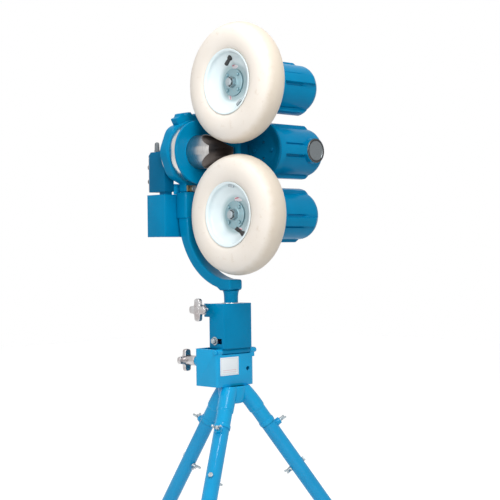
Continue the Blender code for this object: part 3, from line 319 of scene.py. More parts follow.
def leg_place(side, rise=0.0):
    """The frame at the top of a leg, or further up its line: Z up along it, X outward."""
    along = slides[side + "_leg_slide"]
    angle = math.atan2(along.y, along.x)
    spot = column + Vector((leg_top[0] * math.cos(angle), leg_top[0] * math.sin(angle), leg_top[1]))
    turn = Matrix.Rotation(angle, 4, "Z") @ Matrix.Rotation(-leg_splay, 4, "Y")
    return Matrix.Translation(spot) @ turn @ Matrix.Translation((0, 0, rise))


arm_radius, socket_length, elbow_rise = 0.0282, 0.066, 0.099
post_foot = hub_top - 0.059
post = [(0, hub_top), (0.047, hub_top), (0.047, hub_top - 0.03), (0.041, post_foot, 0.026), (0, post_foot)]
hub = turned("leg_hub_casting", post, pose(), ease=0.006)
arm_path = [(0.016, hub_top + 0.008), (*up_the_leg(elbow_rise), 0.03), up_the_leg(socket_length)]
arm_path = eased(arm_path, 0, False, 10)
socket = [
    (0, -0.004), (leg_radius, -0.004), (leg_radius, socket_length - 0.0065), (arm_radius, socket_length, 0.003),
    (arm_radius, socket_length + 0.006), (0, socket_length + 0.006),
]
collar = [(0.02, 0.0004), (0.0276, 0.0004), (0.0276, 0.013), (0.0256, 0.015), (0.02, 0.016)]
for side in leg_sides:
    along = slides[side + "_leg_slide"]
    level = Vector((along.x, along.y, 0)).normalized()
    arm = tube("hub_arm", [level * out + Vector((0, 0, height)) for out, height in arm_path], arm_radius, pose())
    shaped(arm, brick("trim", (-0.2, -0.2, hub_top), (0.2, 0.2, hub_top + 0.1)))
    gathered(hub, turned("socket", socket, leg_place(side), ease=0.001))
    gathered(hub, arm, turned("collar", collar, leg_place(side), loop=True, ease=0.0012, steps=3))
fitted(hub, "tripod", painted_light_enamel, "blue_casting", "leg_hub")

# Legs. Steel tube in blue enamel over a zinc plated inner tube with a slot, clamped by a wing bolt.
# The outer tube carries a welded boss for the thumb screw that holds it on the hub.
# Each inner tube stands on a ball of black rubber, cut flat where it meets the ground.
# The blue enamel painted lighter on the leg tubes: painted light, for the low parts where more light falls.
painted_light_enamel_on_tube = enamel("blue_enamel_on_tube", "#0aa6e0", "#0298d0", 2.5, 0.2, gloss=0.45)


def zinc(name, colour, roughness):
    """Zinc plate: a cool grey metal whose gloss drifts in soft patches."""
    made, tree, shader, place, _ = coated(name, (9, 4), ("#8e999e", colour), Metallic=1.0)
    patches = node(tree, "TexNoise", {"Vector": place, "Scale": 1000 / 9, "Detail": 4})
    gloss = node(tree, "MapRange", {"Value": patches, "To Min": roughness - 0.1, "To Max": roughness + 0.14})
    joined(shader, {"Roughness": gloss})
    return made


def rubber(name, colour, shade, grain_mm):
    """Moulded rubber: matt, with dusty patches and a grain drawn coarse enough to show."""
    return coated(name, (40, 4), (shade, colour), (grain_mm, 2, 0.5, 0.04), Roughness=0.62, IOR=1.52)[0]


zinc_plate = zinc("zinc_plated_steel", "#c2cace", 0.34)
black_rubber = rubber("black_rubber", "#2b2b2c", "#1d1d1e", 1.2)
leg_length = 0.43
screw_drop, bolt_drop = -0.018, -0.176


def band(inner, outer, start, stop):
    """The profile of a plain sleeve, or of a bar when its inner radius is 0."""
    return [(inner, start), (outer, start), (outer, stop), (inner, stop)]


def rod(name, radius, start, stop, place, chamfer=0.0004, segments=40):
    """A plain bar along the local Z axis with its ends eased."""
    return turned(name, band(0, radius, start, stop), place, segments, ease=chamfer, steps=2)


def oblong(half_wide, low, high):
    """A rectangle about the local Y axis."""
    return [(-half_wide, low), (half_wide, low), (half_wide, high), (-half_wide, high)]


sleeve = band(leg_bore, leg_radius, -0.0003, -leg_length)
boss = [(0.0046, 0.024), (0.0125, 0.024), (0.0118, 0.0394), (0.0046, 0.0394)]
weld = [(0.0122 + 0.0015 * x, 0.0242 + 0.0022 * y) for x, y in [polar(1, a) for a in range(0, 360, 30)]]
ball_radius, ball_height = 0.0304, 0.0285            # the foot's ball, and its centre above the floor
centre = (ball_height - column.z - leg_top[1]) / math.cos(leg_splay)
tail = centre + 0.006
inner_radius, inner_bore, inner_top = 0.0221, 0.0196, -0.105
bar = band(inner_bore, inner_radius, inner_top, tail)
ball = [polar(ball_radius, a, 0, centre) for a in range(-84, 48, 6)]
ball = [(0.0, centre - ball_radius)] + ball + [
    (0.0252, centre + 0.024), (0.0252, centre + 0.0265), (0.0228, centre + 0.0265), (0.0228, tail - 0.0003),
    (0, tail - 0.0003),
]
side_on = Matrix(((0, 0, 1, 0), (1, 0, 0, 0), (0, 1, 0, 0), (0, 0, 0, 1)))
for side in leg_sides:
    top = leg_place(side)
    outer = turned("leg_outer_tube", sleeve, top, loop=True, ease=0.0009)
    at_screw = leg_place(side, screw_drop) @ spin(90, "Y")
    at_bolt = leg_place(side, bolt_drop) @ spin(90, "Y")
    shaped(outer, rod("screw_hole", 0.0046, 0, 0.05, at_screw), rod("bolt_hole", 0.0054, -0.05, 0.05, at_bolt))
    gathered(outer, turned("screw_boss", boss, at_screw, loop=True, ease=0.001))
    gathered(outer, turned("weld", weld, at_screw, loop=True))
    fitted(outer, "tripod", painted_light_enamel_on_tube, "blue_paint", side + "_leg_tube")

    inner = turned("leg_inner_tube", bar, top, loop=True, ease=0.0006)
    slot = eased(oblong(0.0053, -0.046, 0.058), 0.0006)
    shaped(inner, slab("slot", slot, -0.06, 0.06, leg_place(side, bolt_drop) @ side_on))
    fitted(inner, side + "_inner", zinc_plate, "zinc_steel", side + "_inner_leg")

    foot = turned("rubber_foot", ball, top)
    shaped(foot, brick("ground", (-1, -1, -column.z - 0.2), (1, 1, -column.z)))
    fitted(foot, side + "_inner", black_rubber, "black_rubber", side + "_foot")

# Thumb screws and wing bolts of the legs. Zinc plated, with forged wings.
# A thumb screw locks each tube on the hub, and a bolt through tube and slot clamps the inner leg.


def wing(name, half_span, root, tip, thick, place):
    """A pair of forged wings: narrow at the root, round at the tips, in the local XZ plane."""
    side = [
        (0.004, root), (half_span * 0.55, root + 0.001), (half_span, tip - 0.005), (half_span * 0.93, tip),
        (half_span * 0.62, tip - 0.001), (0.0055, root + 0.007),
    ]
    outline = eased(side + [(-x, y) for x, y in reversed(side)], 0.003)
    return slab(name, outline, -thick / 2, thick / 2, place @ spin(90, "X"), 0.0008, 2)


def hexagon(name, place, radius, seat, crown, crown_radius, crown_step=0.001, ease=0.0004):
    """A hex head or nut from its seat to its crown, where it is turned down a little."""
    edge = crown - math.copysign(crown_step, crown - seat)
    profile = [(0, seat), (radius, seat), (radius, edge), (crown_radius, crown), (0, crown)]
    return turned(name, profile, place, 6, ease=ease, steps=2)


seat = leg_radius + 0.0006
for side in leg_sides:
    at_screw = leg_place(side, screw_drop) @ spin(90, "Y") @ spin(90, "Z")
    screw = rod("thumb_screw", 0.004, leg_bore + 0.0003, 0.0554, at_screw)
    neck = turned("neck", [(0, 0.0399), (0.0072, 0.0399), (0.0066, 0.0494), (0, 0.0494)], at_screw, ease=0.0008)
    gathered(screw, neck, wing("wings", 0.0175, 0.0434, 0.062, 0.006, at_screw))
    fitted(screw, "tripod", zinc_plate, "zinc_steel", side + "_thumb_screw")

    at_bolt = leg_place(side, bolt_drop) @ spin(90, "Y") @ spin(90, "Z")
    bolt = rod("leg_bolt", 0.005, -0.042, 0.028, at_bolt)
    head = hexagon("bolt_head", at_bolt, 0.0085, seat, seat + 0.0065, 0.0074, 0.0007)
    facing_in = at_bolt @ spin(180, "X")
    nut = [(0, seat), (0.0088, seat), (0.007, seat + 0.012), (0, seat + 0.012)]
    nut = turned("wing_nut", nut, facing_in, ease=0.0008)
    gathered(bolt, head, nut, wing("wings", 0.021, seat + 0.004, seat + 0.0225, 0.006, facing_in))
    fitted(bolt, "tripod", zinc_plate, "zinc_steel", side + "_leg_bolt")

# Tilt box. Folded and welded steel under blue enamel, with one wide round corner and a base
# plate whose edge stands out as a thin lip. Two knuckles in front carry the hinge pin, a short
# boss behind guides the clamp stud, and there is one drain hole beside the round corner.
half, front, back = 0.087, -0.023, 0.089
top, bottom = -0.668, -0.793
hinge = axes["tilt"] - column
hinge_at = pose(0, hinge.y, hinge.z, (1, 0, 0))
tilt_stud_x, tilt_stud_z = -0.06, -0.712
stud_at = pose(tilt_stud_x, 0, tilt_stud_z, (0, 1, 0))


def box_outline(inset):
    """The box seen from above, drawn in by an inset."""
    corners = [(half, back, 0.012), (-half, back, 0.012), (-half, front, 0.012), (half, front, 0.026)]
    middle = (front + back) / 2
    return eased([
        (x - math.copysign(inset, x), y - math.copysign(inset, y - middle), max(radius - inset, 0.002))
        for x, y, radius in corners
    ], 0.0, True, 9)


box = slab("tilt_box_shell", box_outline(0), bottom, top, pose(), 0.0009, 2)
shaped(box, slab("hollow", box_outline(0.005), bottom + 0.005, top + 0.05, pose()))
inner = 0.0645
for sign in (-1, 1):
    near, far = sorted((sign * inner, sign * (half - 0.002)))
    knuckle = rod("knuckle", 0.01, near, far, hinge_at, 0.0008)
    low = (near + 0.0005, hinge.y - 0.006, hinge.z - 0.022)
    web = brick("web", low, (far - 0.0005, hinge.y + 0.009, hinge.z))
    shaped(box, knuckle, web, how="UNION")
relief = brick("relief", (-inner, front - 0.02, hinge.z - 0.0102), (inner, hinge.y + 0.015, top + 0.04))
seat = rod("seat", 0.021, back - 0.002, back + 0.012, stud_at, 0.0015)
shaped(box, relief, rod("pin_hole", 0.0053, -half * 1.3, half * 1.3, hinge_at))
shaped(box, seat, how="UNION")
drain = rod("drain", 0.0075, 0, 0.03, pose(0.0525, front + 0.012, top - 0.07, (0, -1, 0)))
shaped(box, rod("stud_hole", 0.0058, 0.05, 0.2, stud_at), drain)
gathered(box, slab("base_lip", box_outline(-0.0009), bottom + 0.0002, bottom + 0.0105, pose(), 0.0006, 2))
# The box takes the blue painted lighter, as painted light.
fitted(box, "tripod", painted_light_enamel, "blue_paint", "tilt_box")

# Hinge pin. A steel pin through the knuckles of the box and the barrel of the housing, with a
# riveted head at each end. It is painted with the box.
pin = rod("hinge_pin_bar", 0.005, -half - 0.003, half + 0.003, hinge_at)
for near in (-half - 0.0065, half + 0.0003):
    gathered(pin, turned("pin_head", band(0, 0.0082, near, near + 0.0062), hinge_at, ease=0.0018))
fitted(pin, "tripod", painted_light_enamel, "blue_paint", "hinge_pin")

# Plate on the front of the tilt box. Printed white aluminium held by four small rivets. It is
# kept blank here but for a thin frame and two pale ruled lines.
label_face = -0.0245
# A clean white print with a soft sheen.
printed_plate, tree, shader = finish("printed_white_plate", Roughness=0.38, IOR=1.5)
axis = node(tree, "SeparateXYZ", {"Vector": node(tree, "TexCoord").outputs["Object"]}).outputs


def stripe(tree, value, centre, half_width):
    """One where a value lies within half a width of a centre."""
    away = node(tree, "Math", {0: value, 1: centre}, operation="SUBTRACT")
    size = node(tree, "Math", {0: away}, operation="ABSOLUTE")
    return node(tree, "Math", {0: size, 1: half_width}, operation="LESS_THAN")


inside, core = [node(tree, "Math", {
    0: stripe(tree, axis["X"], 0, half_wide), 1: stripe(tree, axis["Z"], 0, half_high),
}, operation="MULTIPLY") for half_wide, half_high in ((0.0377, 0.026), (0.0371, 0.0254))]
border = node(tree, "Math", {0: inside, 1: core}, operation="SUBTRACT")
rules = node(tree, "Math", {
    0: stripe(tree, axis["Z"], -0.013, 0.0007), 1: stripe(tree, axis["Z"], -0.019, 0.0004),
}, operation="ADD")
rules = node(tree, "Math", {0: rules, 1: stripe(tree, axis["X"], 0, 0.03)}, operation="MULTIPLY")
plain = node(tree, "MixRGB", {"Fac": border, "Color1": "#eff6fa", "Color2": "#a9c4d2"})
joined(shader, {"Base Color": node(tree, "MixRGB", {"Fac": rules, "Color1": plain, "Color2": "#e3b9c0"})})

middle = column + Vector((-0.033, label_face, -0.72525))
label = brick("blank_plate", (-0.0415, 0, -0.03025), (0.0415, 0.0012, 0.03025), 0.0004, 2, middle)
for x in (-0.036, 0.036):
    for z in (-0.02475, 0.02475):
        dome = [(0, 0.001), (0.0013, 0.0008), (0.0022, 0.0002), (0.0025, -0.0004), (0, -0.0004)]
        gathered(label, turned("rivet", dome, pose(x, 0, z, (0, -1, 0), middle), 24))
fitted(label, "tripod", printed_plate, "white_label", "label_plate")

# Star knobs. Four-armed hand knobs cast in aluminium and tumbled bright, each on a threaded
# stud. One clamps the swivel from the side, the other clamps the tilt from behind.
# Bright like a worn coin: small casting pits, and duller stains between the tumbled high spots.
cast_aluminium, tree, shader, place, _ = coated(
    "tumbled_cast_aluminium", (18, 2), ("#93807c", "#d6dadc"), (3.5, 5, 0.6, 0.25), Metallic=1.0,
)
pits = node(tree, "TexNoise", {"Vector": place, "Scale": 1000 / 3.5, "Detail": 5})
joined(shader, {"Roughness": node(tree, "MapRange", {"Value": pits, "To Min": 0.14, "To Max": 0.38})})


def star_knob(name, place, stud, rise):
    """Four arms on a round hub, with the stud along -Z."""
    waist, foot = -45, -0.008 - rise
    arm = ((waist, 0.019), (-21, 0.0345), (-13, 0.0379), (0, 0.0384), (13, 0.0379), (21, 0.0345))
    outline = [
        (*polar(radius, 90 * i + degrees), 0.0075 if degrees == waist else 0.003)
        for i in range(4) for degrees, radius in arm
    ]
    star = slab(name, eased(outline, 0.003), -0.008, 0.008, place, 0.0046, 5)
    top = [(0, 0.01), (0.0125, 0.01), (0.0172, 0.0052), (0.0172, foot), (0.0056, foot), (0, foot)]
    thread = [(0, -stud)]
    pitch = 0.0016
    for i in range(int((stud - 0.01 - rise) / pitch)):
        thread += [(0.0048, -stud + i * pitch + 0.0001), (0.0054, -stud + (i + 0.5) * pitch)]
    thread += [(0.0048, -0.009 - rise), (0, -0.009 - rise)]
    return gathered(star, turned("hub", top, place, ease=0.0012), turned("stud", thread, place, 32))


swivel_stud_y, swivel_stud_z = 0.053, -0.537
knob_at = pose(-0.101, swivel_stud_y, swivel_stud_z, (-1, 0, 0))
knob = star_knob("swivel_star_knob", knob_at, 0.178, 0.018)
fitted(knob, "swivel_knob_body", cast_aluminium, "cast_aluminium", "swivel_knob")
knob_at = pose(tilt_stud_x, 0.161, tilt_stud_z, (0, 1, 0))
knob = star_knob("tilt_star_knob", knob_at, 0.083, 0.046)
fitted(knob, "tilt_knob_body", cast_aluminium, "cast_aluminium", "tilt_knob")

# Swivel housing. A square steel box, open below, that holds the neck. It is split behind into
# two ears that the side knob pulls together, has a slot window low on its left, and a hinge
# barrel along its front lower edge.
enamel_on_sheet = enamel("blue_enamel_on_sheet", "#008dc0", "#007eae", 3.0, 0.25)
half, front, back = 0.063, -0.032, 0.041
top, bottom = -0.517, -0.667
body = brick("swivel_housing_box", (-half, front, bottom), (half, back, top), 0.0014, 3)
low = (-half + 0.005, front + 0.005, bottom - 0.01)
shaped(body, brick("hollow", low, (half - 0.005, back - 0.005, top - 0.005)))
web = brick("web", (-half + 0.001, front + 0.001, -0.61), (half - 0.001, back - 0.001, -0.602))
ears = []
for sign in (-1, 1):
    near, far = sorted((sign * half, sign * (half - 0.005)))
    ears.append(brick("ear", (near, back - 0.006, top - 0.045), (far, 0.066, top), 0.001, 2))
barrel = rod("barrel", 0.009, -0.0625, 0.0625, hinge_at, 0.0008)
rib = brick("rib", (-0.0625, hinge.y - 0.0063, hinge.z), (0.0625, hinge.y + 0.0063, bottom + 0.006))
nut_at = pose(0, swivel_stud_y, swivel_stud_z, (1, 0, 0))
bolt_at = pose(0, 0.013, -0.641, (1, 0, 0))
ear_nut = hexagon("ear_nut", nut_at, 0.011, half - 0.001, half + 0.008, 0.0098, ease=0.0003)
shaped(body, web, *ears, barrel, rib, ear_nut, how="UNION")
shaped(
    body, rod("bore", 0.0303, -0.626, top + 0.02, pose(), 0), rod("stud_hole", 0.0058, -0.09, 0.09, nut_at),
    brick("window", (-half - 0.01, -0.02, bottom + 0.016), (-half + 0.01, 0.006, bottom + 0.034)),
    rod("bolt_hole", 0.0063, -0.09, 0.09, bolt_at),
    rod("pin_hole", 0.0053, -0.08, 0.08, hinge_at),
)
fitted(body, "tilt_housing", enamel_on_sheet, "blue_paint", "swivel_housing")

# Neck bush. A flanged sleeve of turned aluminium that the neck runs in. Its flange shows as a
# thin ring on top of the housing.


def distance_from_axis(tree, place):
    """How far a point is from its piece's own Z axis."""
    parts = node(tree, "SeparateXYZ", {"Vector": place}).outputs
    flat = node(tree, "CombineXYZ", {"X": parts["X"], "Y": parts["Y"]})
    return node(tree, "VectorMath", {0: flat}, operation="LENGTH").outputs["Value"]


# Bright, with rings from the turning tool. They are drawn coarser than real ones so that they show.
turned_aluminium, tree, shader = finish("turned_aluminium", Metallic=1.0, Roughness=0.24)
place = node(tree, "TexCoord").outputs["Object"]
along = node(tree, "SeparateXYZ", {"Vector": place}).outputs["Z"]
rings = node(tree, "CombineXYZ", {"X": distance_from_axis(tree, place), "Z": along})
tool_marks = node(tree, "TexNoise", {"Vector": rings, "Scale": 1000 / 0.9, "Detail": 2})
joined(shader, {
    "Base Color": node(tree, "MixRGB", {"Fac": tool_marks, "Color1": "#b9b7b3", "Color2": "#e6e4e0"}),
    "Normal": node(tree, "Bump", {"Height": tool_marks, "Strength": 0.25, "Distance": 0.00008}),
})

flange, foot = top + 0.0003, -0.615
profile = [
    (0.0238, top + 0.0024), (0.0305, top + 0.0024), (0.031, flange), (0.03, flange), (0.03, foot), (0.0238, foot),
]
bush = turned("turned_bush", profile, pose(), 96, loop=True, ease=0.0008)
fitted(bush, "tilt_housing", turned_aluminium, "machined_aluminium", "neck_bush")

# Cross bolt. A long zinc plated bolt with a washer and a nut. It goes through the foot of the
# housing from side to side.
bolt = rod("cross_bolt_bar", 0.006, -0.077, 0.079, bolt_at)
washer = turned("washer", band(0, 0.014, -0.0658, -0.0633), bolt_at, ease=0.0006)
head = hexagon("bolt_head", bolt_at, 0.0105, -0.0653, -0.0753, 0.0092)
gathered(bolt, washer, head, hexagon("nut", bolt_at, 0.011, 0.0633, 0.0733, 0.0098))
fitted(bolt, "tilt_housing", zinc_plate, "zinc_steel", "cross_bolt")

# Neck. The turned steel spigot below the C arm, painted like it. It flares where it meets the
# arm, and turns in the bush.
enamel_on_castings = enamel("blue_enamel_on_castings", "#008bbd", "#007ba8", 4.0, 0.28, 0.05)
profile = [
    (0, -0.4743), (0.0285, -0.4743), (0.0268, -0.4768), (0.0253, -0.4815), (0.0243, -0.488), (0.0237, -0.496),
    (0.0235, -0.5043), (0.0235, -0.619), (0.0205, -0.622), (0, -0.622),
]
neck = turned("neck_spigot", profile, pose(), 96)
fitted(neck, "yoke", enamel_on_castings, "blue_paint", "neck_shaft")

# C arm. One heavy casting with rounded edges that runs from a pad behind the machine, down and
# forward round the lower wheel, to a blunt nose over the neck.
wheel_height = axes["upper_wheel_spin"].z - column.z
setback = column.y - axes["upper_wheel_spin"].y


def sweep(inner, outer, start, stop, steps):
    """Points round the lower wheel's axle while the radius grows, as (back, up)."""
    return [
        polar(inner + (outer - inner) * i / steps, start + (stop - start) * i / steps, -setback, -wheel_height)
        for i in range(steps + 1)
    ]


def upright(name, outline, low, high, bevel=0.0, steps=3, start=column):
    """An outline of (back, up) made solid along X."""
    return slab(name, outline, low, high, Matrix.Translation(start) @ side_on, bevel, steps)


pad_top, pad_front, pad_back, pad_bottom = -0.135, 0.186, 0.2377, -0.227
outline = [(pad_back - 0.004, pad_top), (pad_front, pad_top), (pad_front, pad_bottom)]
outline += sweep(0.23, 0.2205, -21, -77, 24)
nose = [
    (-0.008, -0.437), (-0.026, -0.437, 0.013), (-0.026, -0.474, 0.012), (0.026, -0.474, 0.002), (0.029, -0.472),
]
outline += eased(nose, 0.004, False)[1:-1]
outline += sweep(0.2555, 0.272, -72, -1, 28)
arm = upright("c_arm_casting", outline, -0.029, 0.029, 0.007, 5)
pad = brick("pad", (-0.034, pad_front - 0.002, pad_bottom), (0.034, pad_back, pad_top - 0.0002), 0.0055, 4)
fitted(gathered(arm, pad), "yoke", enamel_on_castings, "blue_casting", "yoke_arm")

# Roll ring. A cast and painted ring on the arm that the head rolls in, with a lobed outside.
# It has a toothed lug on top and a boss below, where it sits on the arm's pad.
ring_bore, ring_radius, ring_front, ring_back, clamp_height = 0.0903, 0.112, 0.1896, 0.2276, -0.124
ball_at = pose(0, 0, 0, (0, 1, 0))
profile = [
    (ring_bore, ring_front), (ring_radius, ring_front, 0.004), (ring_radius, ring_back, 0.004),
    (ring_bore, ring_back),
]
ring = turned("roll_ring_casting", profile, ball_at, 160, loop=True, ease=0.001)
for vertex in ring.data.vertices:
    if math.hypot(vertex.co.x, vertex.co.y) > 0.104:
        lobe = 1 + 0.022 * math.cos(8 * math.atan2(vertex.co.y, vertex.co.x))
        vertex.co = (vertex.co.x * lobe, vertex.co.y * lobe, vertex.co.z)
corners = [(120, 0.134, 0.004)]
for middle in (107, 92, 77):
    corners += [(middle + 5.5, 0.1335, 0.003), (middle + 2.6, 0.142, 0.002)]
    corners += [(middle - 2.6, 0.142, 0.002), (middle - 5.5, 0.1335, 0.003)]
corners += [(64, 0.134, 0.004)] + [(64 + 7 * i, 0.103, 0) for i in range(9)]
toothed = eased([(*polar(far, degrees), radius) for degrees, far, radius in corners], 0.002)
lug = slab("toothed_lug", toothed, -ring_back + 0.004, -ring_front - 0.004, pose() @ spin(90, "X"), 0.0016, 3)
boss = brick("boss", (-0.029, ring_front + 0.001, -0.1347), (0.029, ring_back - 0.001, -0.102), 0.0025, 3)
bolt_hole = rod("bolt_hole", 0.0043, ring_front - 0.01, ring_front + 0.026, pose(0, 0, clamp_height, (0, 1, 0)))
shaped(boss, rod("clear", ring_bore, ring_front - 0.01, ring_back + 0.01, ball_at, 0, 96), bolt_hole)
fitted(gathered(ring, lug, boss), "yoke", enamel_on_castings, "blue_casting", "roll_ring")

# Clamp bolt of the roll ring. Zinc plated, in the boss below the ring, with an oblong plate of
# rolled brass under its head.
# Dull yellow with brown stains.
brass = coated("rolled_brass", (6, 3), ("#8a7452", "#d9c59a"), Metallic=1.0, Roughness=0.34)[0]
clamp_at = pose(0, ring_front + 0.0007, clamp_height, (0, -1, 0))
bolt = rod("ring_clamp_bolt_bar", 0.004, -0.022, 0.004, clamp_at)
gathered(bolt, hexagon("bolt_head", clamp_at, 0.01, 0.002, 0.0105, 0.0088))
fitted(bolt, "yoke", zinc_plate, "zinc_steel", "ring_clamp_bolt")
low, high = (-0.026, ring_front - 0.003, -0.1335), (0.013, ring_front + 0.0007, -0.113)
washer = brick("brass_washer", low, high, 0.001, 2)
fitted(washer, "yoke", brass, "zinc_steel")

# Throat. The turned sleeve that rolls in the ring shows as a bright band. A screwed-on retainer
# holds it behind, and the dished blue flange in front of it carries the head frame.
head_origin = column - Vector((0, setback, 0))


def head_pose(x, y, z, along=(0, 0, 1)):
    """A place measured from the middle of the head."""
    return pose(x, y, z, along, head_origin)


def crosswise(y, z):
    """A place on the head with the local Z axis along the wheels' axles, away from the wheels."""
    return head_pose(0, y, z, (1, 0, 0))


throat = head_pose(0, 0, 0, (0, 1, 0))
bore, front, back = 0.0583, 0.1933, 0.2739
profile = [(bore, front), (0.103, front), (0.103, 0.2273), (0.0897, 0.2273), (0.0897, back), (bore, back)]
sleeve = turned("turned_sleeve", profile, throat, 144, loop=True, ease=0.0009)
fitted(sleeve, "head", turned_aluminium, "machined_aluminium", "throat_sleeve")
retainer = turned("retainer_ring", band(0.09, 0.103, back - 0.008, back), throat, 144, loop=True, ease=0.0009)
fitted(retainer, "head", turned_aluminium, "machined_aluminium", "throat_retainer")
profile = [
    (0.11, 0.183, 0.0012), (0.11, 0.193), (bore, 0.193), (bore, 0.1905), (0.0663, 0.1905, 0.005),
    (0.1055, 0.1832, 0.001),
]
flange = turned("dished_flange", profile, throat, 144, loop=True, ease=0.001)
fitted(flange, "head", enamel_on_castings, "blue_casting", "throat_flange")

# Ball chute. A stainless tube, brushed round, with a fish mouth cut to clear both wheels, so
# that two tongues reach forward between them. Its edges are deburred to a bright line.


def brushed(name, colours, roughness, across, line_mm, detail):
    """Brushed metal: streaks across the local Z axis, drawn coarser than real ones so that they show."""
    made, tree, shader = finish(name, Metallic=1.0, Roughness=roughness)
    place = node(tree, "TexCoord").outputs["Object"]
    stretch = node(tree, "Mapping", {"Vector": place, "Scale": (across, across, 1000 / line_mm)})
    lines = node(tree, "TexNoise", {"Vector": stretch, "Scale": 1.0, "Detail": detail})
    tint = node(tree, "MixRGB", {"Fac": lines, "Color1": colours[0], "Color2": colours[1]})
    joined(shader, {"Base Color": tint})
    return made, tree, shader, place, tint, lines


# Streaks run round the tube, and its inside is painted darker, as painted shade.
brushed_stainless, tree, shader, place, tint, lines = brushed(
    "brushed_stainless", ("#8f8c8a", "#d3d1cf"), 0.3, 40, 1.1, 3,
)
painted_shade_inside = node(tree, "Math", {0: distance_from_axis(tree, place), 1: 0.057}, operation="LESS_THAN")
joined(shader, {
    "Base Color": node(tree, "MixRGB", {"Fac": painted_shade_inside, "Color1": tint, "Color2": "#5f5753"}),
    "Roughness": node(tree, "MapRange", {"Value": lines, "To Min": 0.2, "To Max": 0.42}),
    "Normal": node(tree, "Bump", {"Height": lines, "Strength": 0.4, "Distance": 0.00012}),
})
chute = turned("stainless_chute", band(0.056, 0.058, 0.078, back), throat, 144, loop=True)
for z in (wheel_height, -wheel_height):
    shaped(chute, rod("mouth", 0.222, -0.08, 0.08, crosswise(0, z), 0, 160))
softened(chute, 0.0006, 2, 50)
fitted(chute, "head", brushed_stainless, "stainless", "ball_chute")

# Supply box. Folded sheet steel on the back of the arm, painted blue, with a flat cover behind
# and the mains inlet in the cover: a black moulding with three pins in its recess.
box_front, sheet = 0.238, 0.0025


def window(name, x, z, half_wide, half_high, start, stop, bevel=0.0, steps=3):
    """A block in a sheet that faces back, from its middle and half sizes."""
    return brick(name, (x - half_wide, start, z - half_high), (x + half_wide, stop, z + half_high), bevel, steps)


low, high = (-0.084, box_front, -0.29), (0.084, 0.331, -0.143)
box = brick("supply_box_shell", low, high, 0.0022, 3)
shaped(box, brick("hollow", [v + sheet for v in low], (high[0] - sheet, high[1] + 0.01, high[2] - sheet)))
softened(box, 0.0003, 1, 60)
fitted(box, "yoke", enamel_on_sheet, "blue_paint", "supply_box")
cover_y, inlet_x, inlet_z = 0.3313, 0.04, -0.2165
cover = brick("supply_box_lid", (low[0], cover_y, low[2]), (high[0], cover_y + sheet, high[2]), 0.0009, 2)
shaped(cover, window("cutout", inlet_x, inlet_z, 0.0133, 0.0103, cover_y - 0.01, cover_y + 0.01))
for x in (-0.077, 0.077):
    for z in (-0.283, -0.15):
        pan = [(0, 0.0016), (0.0018, 0.0014), (0.003, 0.0006), (0.0033, -0.0003), (0, -0.0003)]
        gathered(cover, turned("screw_head", pan, pose(x, cover_y + sheet, z, (0, 1, 0)), 24))
fitted(cover, "yoke", enamel_on_sheet, "blue_paint", "supply_box_cover")


def plastic(name, colour, roughness, grain_mm):
    """Moulded plastic: nearly even in colour, with a spark texture drawn coarse enough to show."""
    grain = (grain_mm, 2, 0.4, 0.05)
    return coated(name, (grain_mm, 2), (colour, "#2e2f31"), grain, Roughness=roughness, IOR=1.5)[0]


black_plastic = plastic("moulded_black_plastic", "#161617", 0.42, 0.9)
face = cover_y + sheet + 0.0003
inlet = window("mains_inlet_moulding", inlet_x, inlet_z, 0.013, 0.01, face - 0.024, face + 0.001, 0.001, 2)
shaped(inlet, window("rim", inlet_x, inlet_z, 0.02, 0.015, face, face + 0.003, 0.0012, 3), how="UNION")
shaped(inlet, window("recess", inlet_x, inlet_z, 0.01, 0.007, face - 0.016, face + 0.01))
fitted(inlet, "yoke", black_plastic, "black_plastic", "mains_inlet")
pins, *others = [
    window("inlet_pin", inlet_x + x, inlet_z + z, 0.0007, 0.002, face - 0.0162, face - 0.004, 0.0003, 1)
    for x, z in ((-0.006, -0.0006), (0.0, 0.002), (0.006, -0.0006))
]
gathered(pins, *others)
fitted(pins, "yoke", zinc_plate, "zinc_steel")

# Control box. A narrow folded box beside the feed mouth in a darker blue, with a chamfered top,
# a booted switch on top, and a brushed panel behind that carries the two speed dials.
# A darker blue. On the middle dish it is painted shade, for the shade in the mouth of the middle cover.
dark_enamel_and_painted_shade = enamel("deep_blue_enamel_and_painted_shade", "#006f9c", "#00628a", 3.0, 0.3)
side_out, side_in, foot_z, control_back, control_top, chamfer = -0.084, -0.042, -0.134, 0.323, 0.006, 0.01
shoulder = control_top - chamfer
outline = [
    (box_front, foot_z), (control_back, foot_z), (control_back, shoulder), (control_back - chamfer, control_top),
    (box_front, control_top),
]
control = upright("control_box_shell", outline, side_out, side_in, 0.0016, 3)
inside = (side_out + sheet, box_front + sheet, foot_z + sheet)
hollow = brick("hollow", inside, (side_in - sheet, control_back + 0.01, shoulder - sheet))
switch_x, switch_y = -0.063, 0.302
shaped(control, hollow, rod("switch_hole", 0.0065, -0.02, 0.02, pose(switch_x, switch_y, control_top)))
supply_top = -0.1427                 # just above the supply box
foot = (side_out + 0.006, box_front + 0.004, supply_top)
gathered(control, brick("foot", foot, (side_in - 0.006, box_front + 0.036, foot_z + 0.001), 0.0008, 2))
fitted(control, "yoke", dark_enamel_and_painted_shade, "blue_paint", "control_box")
corner = (side_in + 0.0005, box_front + 0.001, supply_top)
gusset = brick("sheet_gusset", corner, (-0.012, box_front + 0.004, -0.1062), 0.0008, 2)
# The gusset takes the blue painted lighter, as painted light on its lit face.
fitted(gusset, "yoke", painted_light_enamel, "blue_paint")

